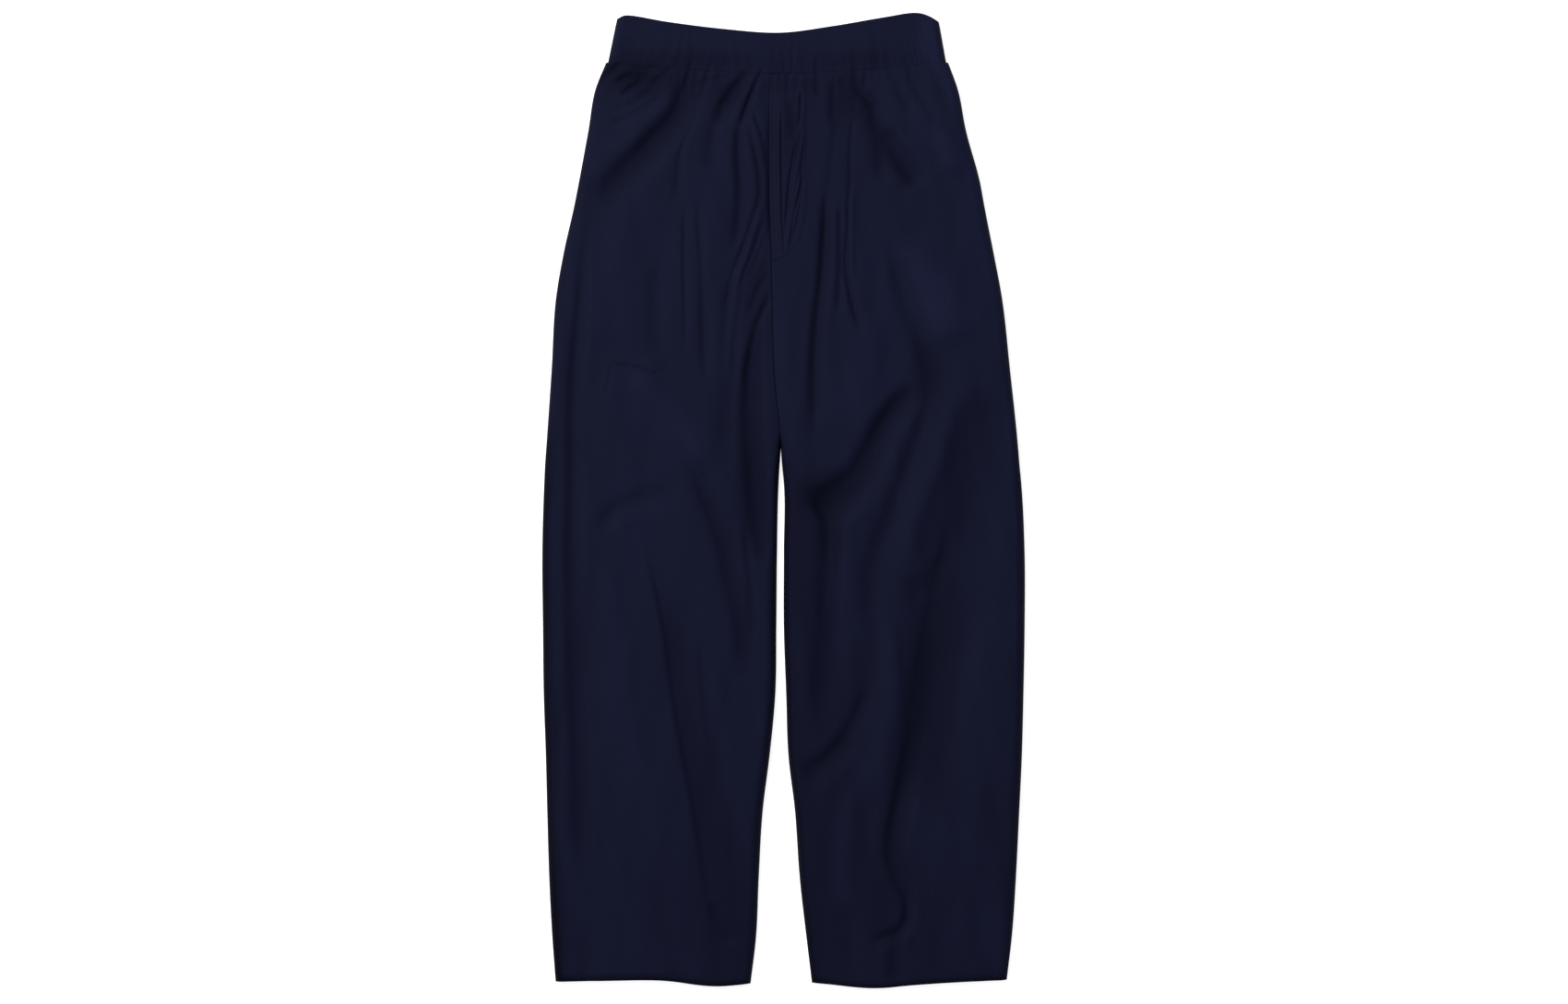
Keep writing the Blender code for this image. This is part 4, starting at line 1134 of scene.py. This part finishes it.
def thread_material():
    """Twisted navy thread, a little lighter than the cloth."""
    material, tree, shader = new_material("navy_thread", THREAD_SHADER)
    place = add_node(tree, "ShaderNodeTexCoord").outputs["Object"]
    twist = noise_node(tree, place, TWIST)
    ramp = add_node(tree, "ShaderNodeValToRGB")
    for element, (position, tone) in zip(ramp.color_ramp.elements, TWIST_TONES):
        element.position = position
        element.color = (*[tone * c for c in THREAD_NAVY], 1)
    tree.links.new(twist, ramp.inputs["Fac"])
    tree.links.new(ramp.outputs["Color"], shader.inputs["Base Color"])
    return material


def settle(piece, slot, *nodes):
    """Fixes a piece to the garment's one body and lets it stand for CAD nodes. The slot is not used."""
    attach(piece, "root")
    if nodes:
        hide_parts(*nodes)


def fly_stitching(thread):
    """Two rows on the placket, one round the curved border, and the bar tack at its lower end."""
    pieces = []
    lower = FLY_STRAIGHT_END - FLY_CURVE
    for number, (inset, lift) in enumerate(zip(FLY_ROWS_INSET, FLY_ROWS_LIFT)):
        y = np.linspace(FLY_TOP - ROW_TOP_GAP, lower + lift, ROW_POINTS)
        path = np.stack([inner_edge(1, y) + inset, y], axis=1)
        marks = stitch_marks(path, STITCH_PITCH)
        pieces.append(stitch_row(f"fly_stitches_{number + 1}", marks, fly_surface, thread))
    angles = np.linspace(0, math.radians(CORNER_TURN), CORNER_POINTS)
    curve_y = FLY_STRAIGHT_END - (FLY_CURVE - FLY_STITCH_INSET) * np.sin(angles)
    curve_x = inner_edge(1, curve_y) + (FLY_WIDTH - FLY_STITCH_INSET) * np.cos(angles)
    straight_y = np.linspace(FLY_TOP - ROW_TOP_GAP, FLY_STRAIGHT_END, BORDER_POINTS)[:-1]
    straight_x = inner_edge(1, straight_y) + FLY_WIDTH - FLY_STITCH_INSET
    path = np.stack([np.concatenate([straight_x, curve_x]), np.concatenate([straight_y, curve_y])], axis=1)
    pieces.append(stitch_row("fly_border_stitches", stitch_marks(path, STITCH_PITCH), fly_surface, thread))
    y = np.full(TACK_PLACES.shape, lower + TACK_LIFT)
    marks = (inner_edge(1, y) + TACK_PLACES, y, np.full(y.shape, TACK_LEAN), np.ones(y.shape))
    pieces.append(stitch_row("fly_bar_tack", marks, fly_surface, thread, TACK_LENGTH, TACK_THREAD))
    return pieces


def hem_stitching(name, toward_side, thread):
    """The pricks of a blind hem: one row of tiny stitches where the hem's turned edge is caught."""
    bottom = SECTIONS[-1].height
    y = bottom + HEM_DEPTH
    side = side_edge(toward_side, np.array([y]))[0] - toward_side * FRONT_ROLL
    inner = inner_edge(toward_side, np.array([y]))[0] + toward_side * FRONT_ROLL
    x = np.linspace(side, inner, HEM_POINTS)
    marks = stitch_marks(np.stack([x, y + HEM_FOLLOW * (hem_edge(x) - bottom)], axis=1), PRICK_PITCH)
    return stitch_row(
        name, marks, lambda px, py: front_height(px, py, toward_side), thread, PRICK, PRICK_THREAD
    )


def make_trousers():
    """All pieces of the garment."""
    cloth = woven_cloth("navy_cloth", RUMPLE_BUMP)
    band_cloth = woven_cloth("navy_waistband_cloth", BAND_RUMPLE_BUMP)
    thread = thread_material()
    stitches = fly_stitching(thread)
    fly = fly_piece("fly_cloth", cloth)
    settle(fly, "cloth", "fly")
    for word, toward_side in (("right", -1), ("left", 1)):
        front = make_panel(f"front_{word}_cloth", FRONT, toward_side, cloth)
        settle(front, "cloth", f"front_{word}")
        hem_row = hem_stitching(f"hem_stitches_{word}", toward_side, thread)
        back = make_panel(f"back_{word}_cloth", BACK, toward_side, cloth)
        settle(back, "cloth", f"back_{word}")
    front_band = band_front("waistband_front_cloth", band_cloth)
    settle(front_band, "waistband_cloth", "waistband_front")
    back_band = band_back("waistband_back_cloth", band_cloth)
    settle(back_band, "waistband_cloth", "waistband_back")


def make_floor():
    """A plain pale surface under the trousers."""
    material = new_material("pale_floor", FLOOR_SHADER)[0]
    corners = [(x, y, FLOOR_HEIGHT) for x, y in ((-1, -1), (1, -1), (1, 1), (-1, 1))]
    corners = np.array(corners) * [FLOOR_HALF, FLOOR_HALF, 1]
    add_mesh("floor", corners, np.array([[0, 1, 2, 3]]), material)


def make_light():
    """One large soft light from the upper left of the picture, and a weak even sky."""
    light = bpy.data.lights.new("key_light", "AREA")
    light.shape = "DISK"
    light.size = KEY_SIZE
    light.energy = KEY_POWER
    lamp = bpy.data.objects.new("key_light", light)
    lamp.location = KEY_PLACE
    lamp.rotation_euler = Vector(KEY_PLACE).to_track_quat("Z", "Y").to_euler()
    lamp.visible_camera = False
    bpy.context.scene.collection.objects.link(lamp)
    world = bpy.data.worlds.new("studio")
    world.use_nodes = True
    world.node_tree.nodes["Background"].inputs["Color"].default_value = (1, 1, 1, 1)
    world.node_tree.nodes["Background"].inputs["Strength"].default_value = SKY_STRENGTH
    bpy.context.scene.world = world


def make_camera():
    """Looks straight down with a long lens, and frames the trousers as the photo does."""
    camera = bpy.data.cameras.new("camera")
    camera.sensor_width = SENSOR
    camera.lens = SENSOR * (CAMERA_DISTANCE - AIM_HEIGHT) / FRAME_WIDTH
    camera.clip_end = CLIP_END
    holder = bpy.data.objects.new("camera", camera)
    holder.location = (FRAME_CENTRE[0] * MM, FRAME_CENTRE[1] * MM, CAMERA_DISTANCE * MM)
    bpy.context.scene.collection.objects.link(holder)
    bpy.context.scene.camera = holder


make_trousers()
make_floor()
make_light()
make_camera()
bpy.context.scene.view_settings.view_transform = "Standard"
bpy.context.scene.view_settings.look = "None"
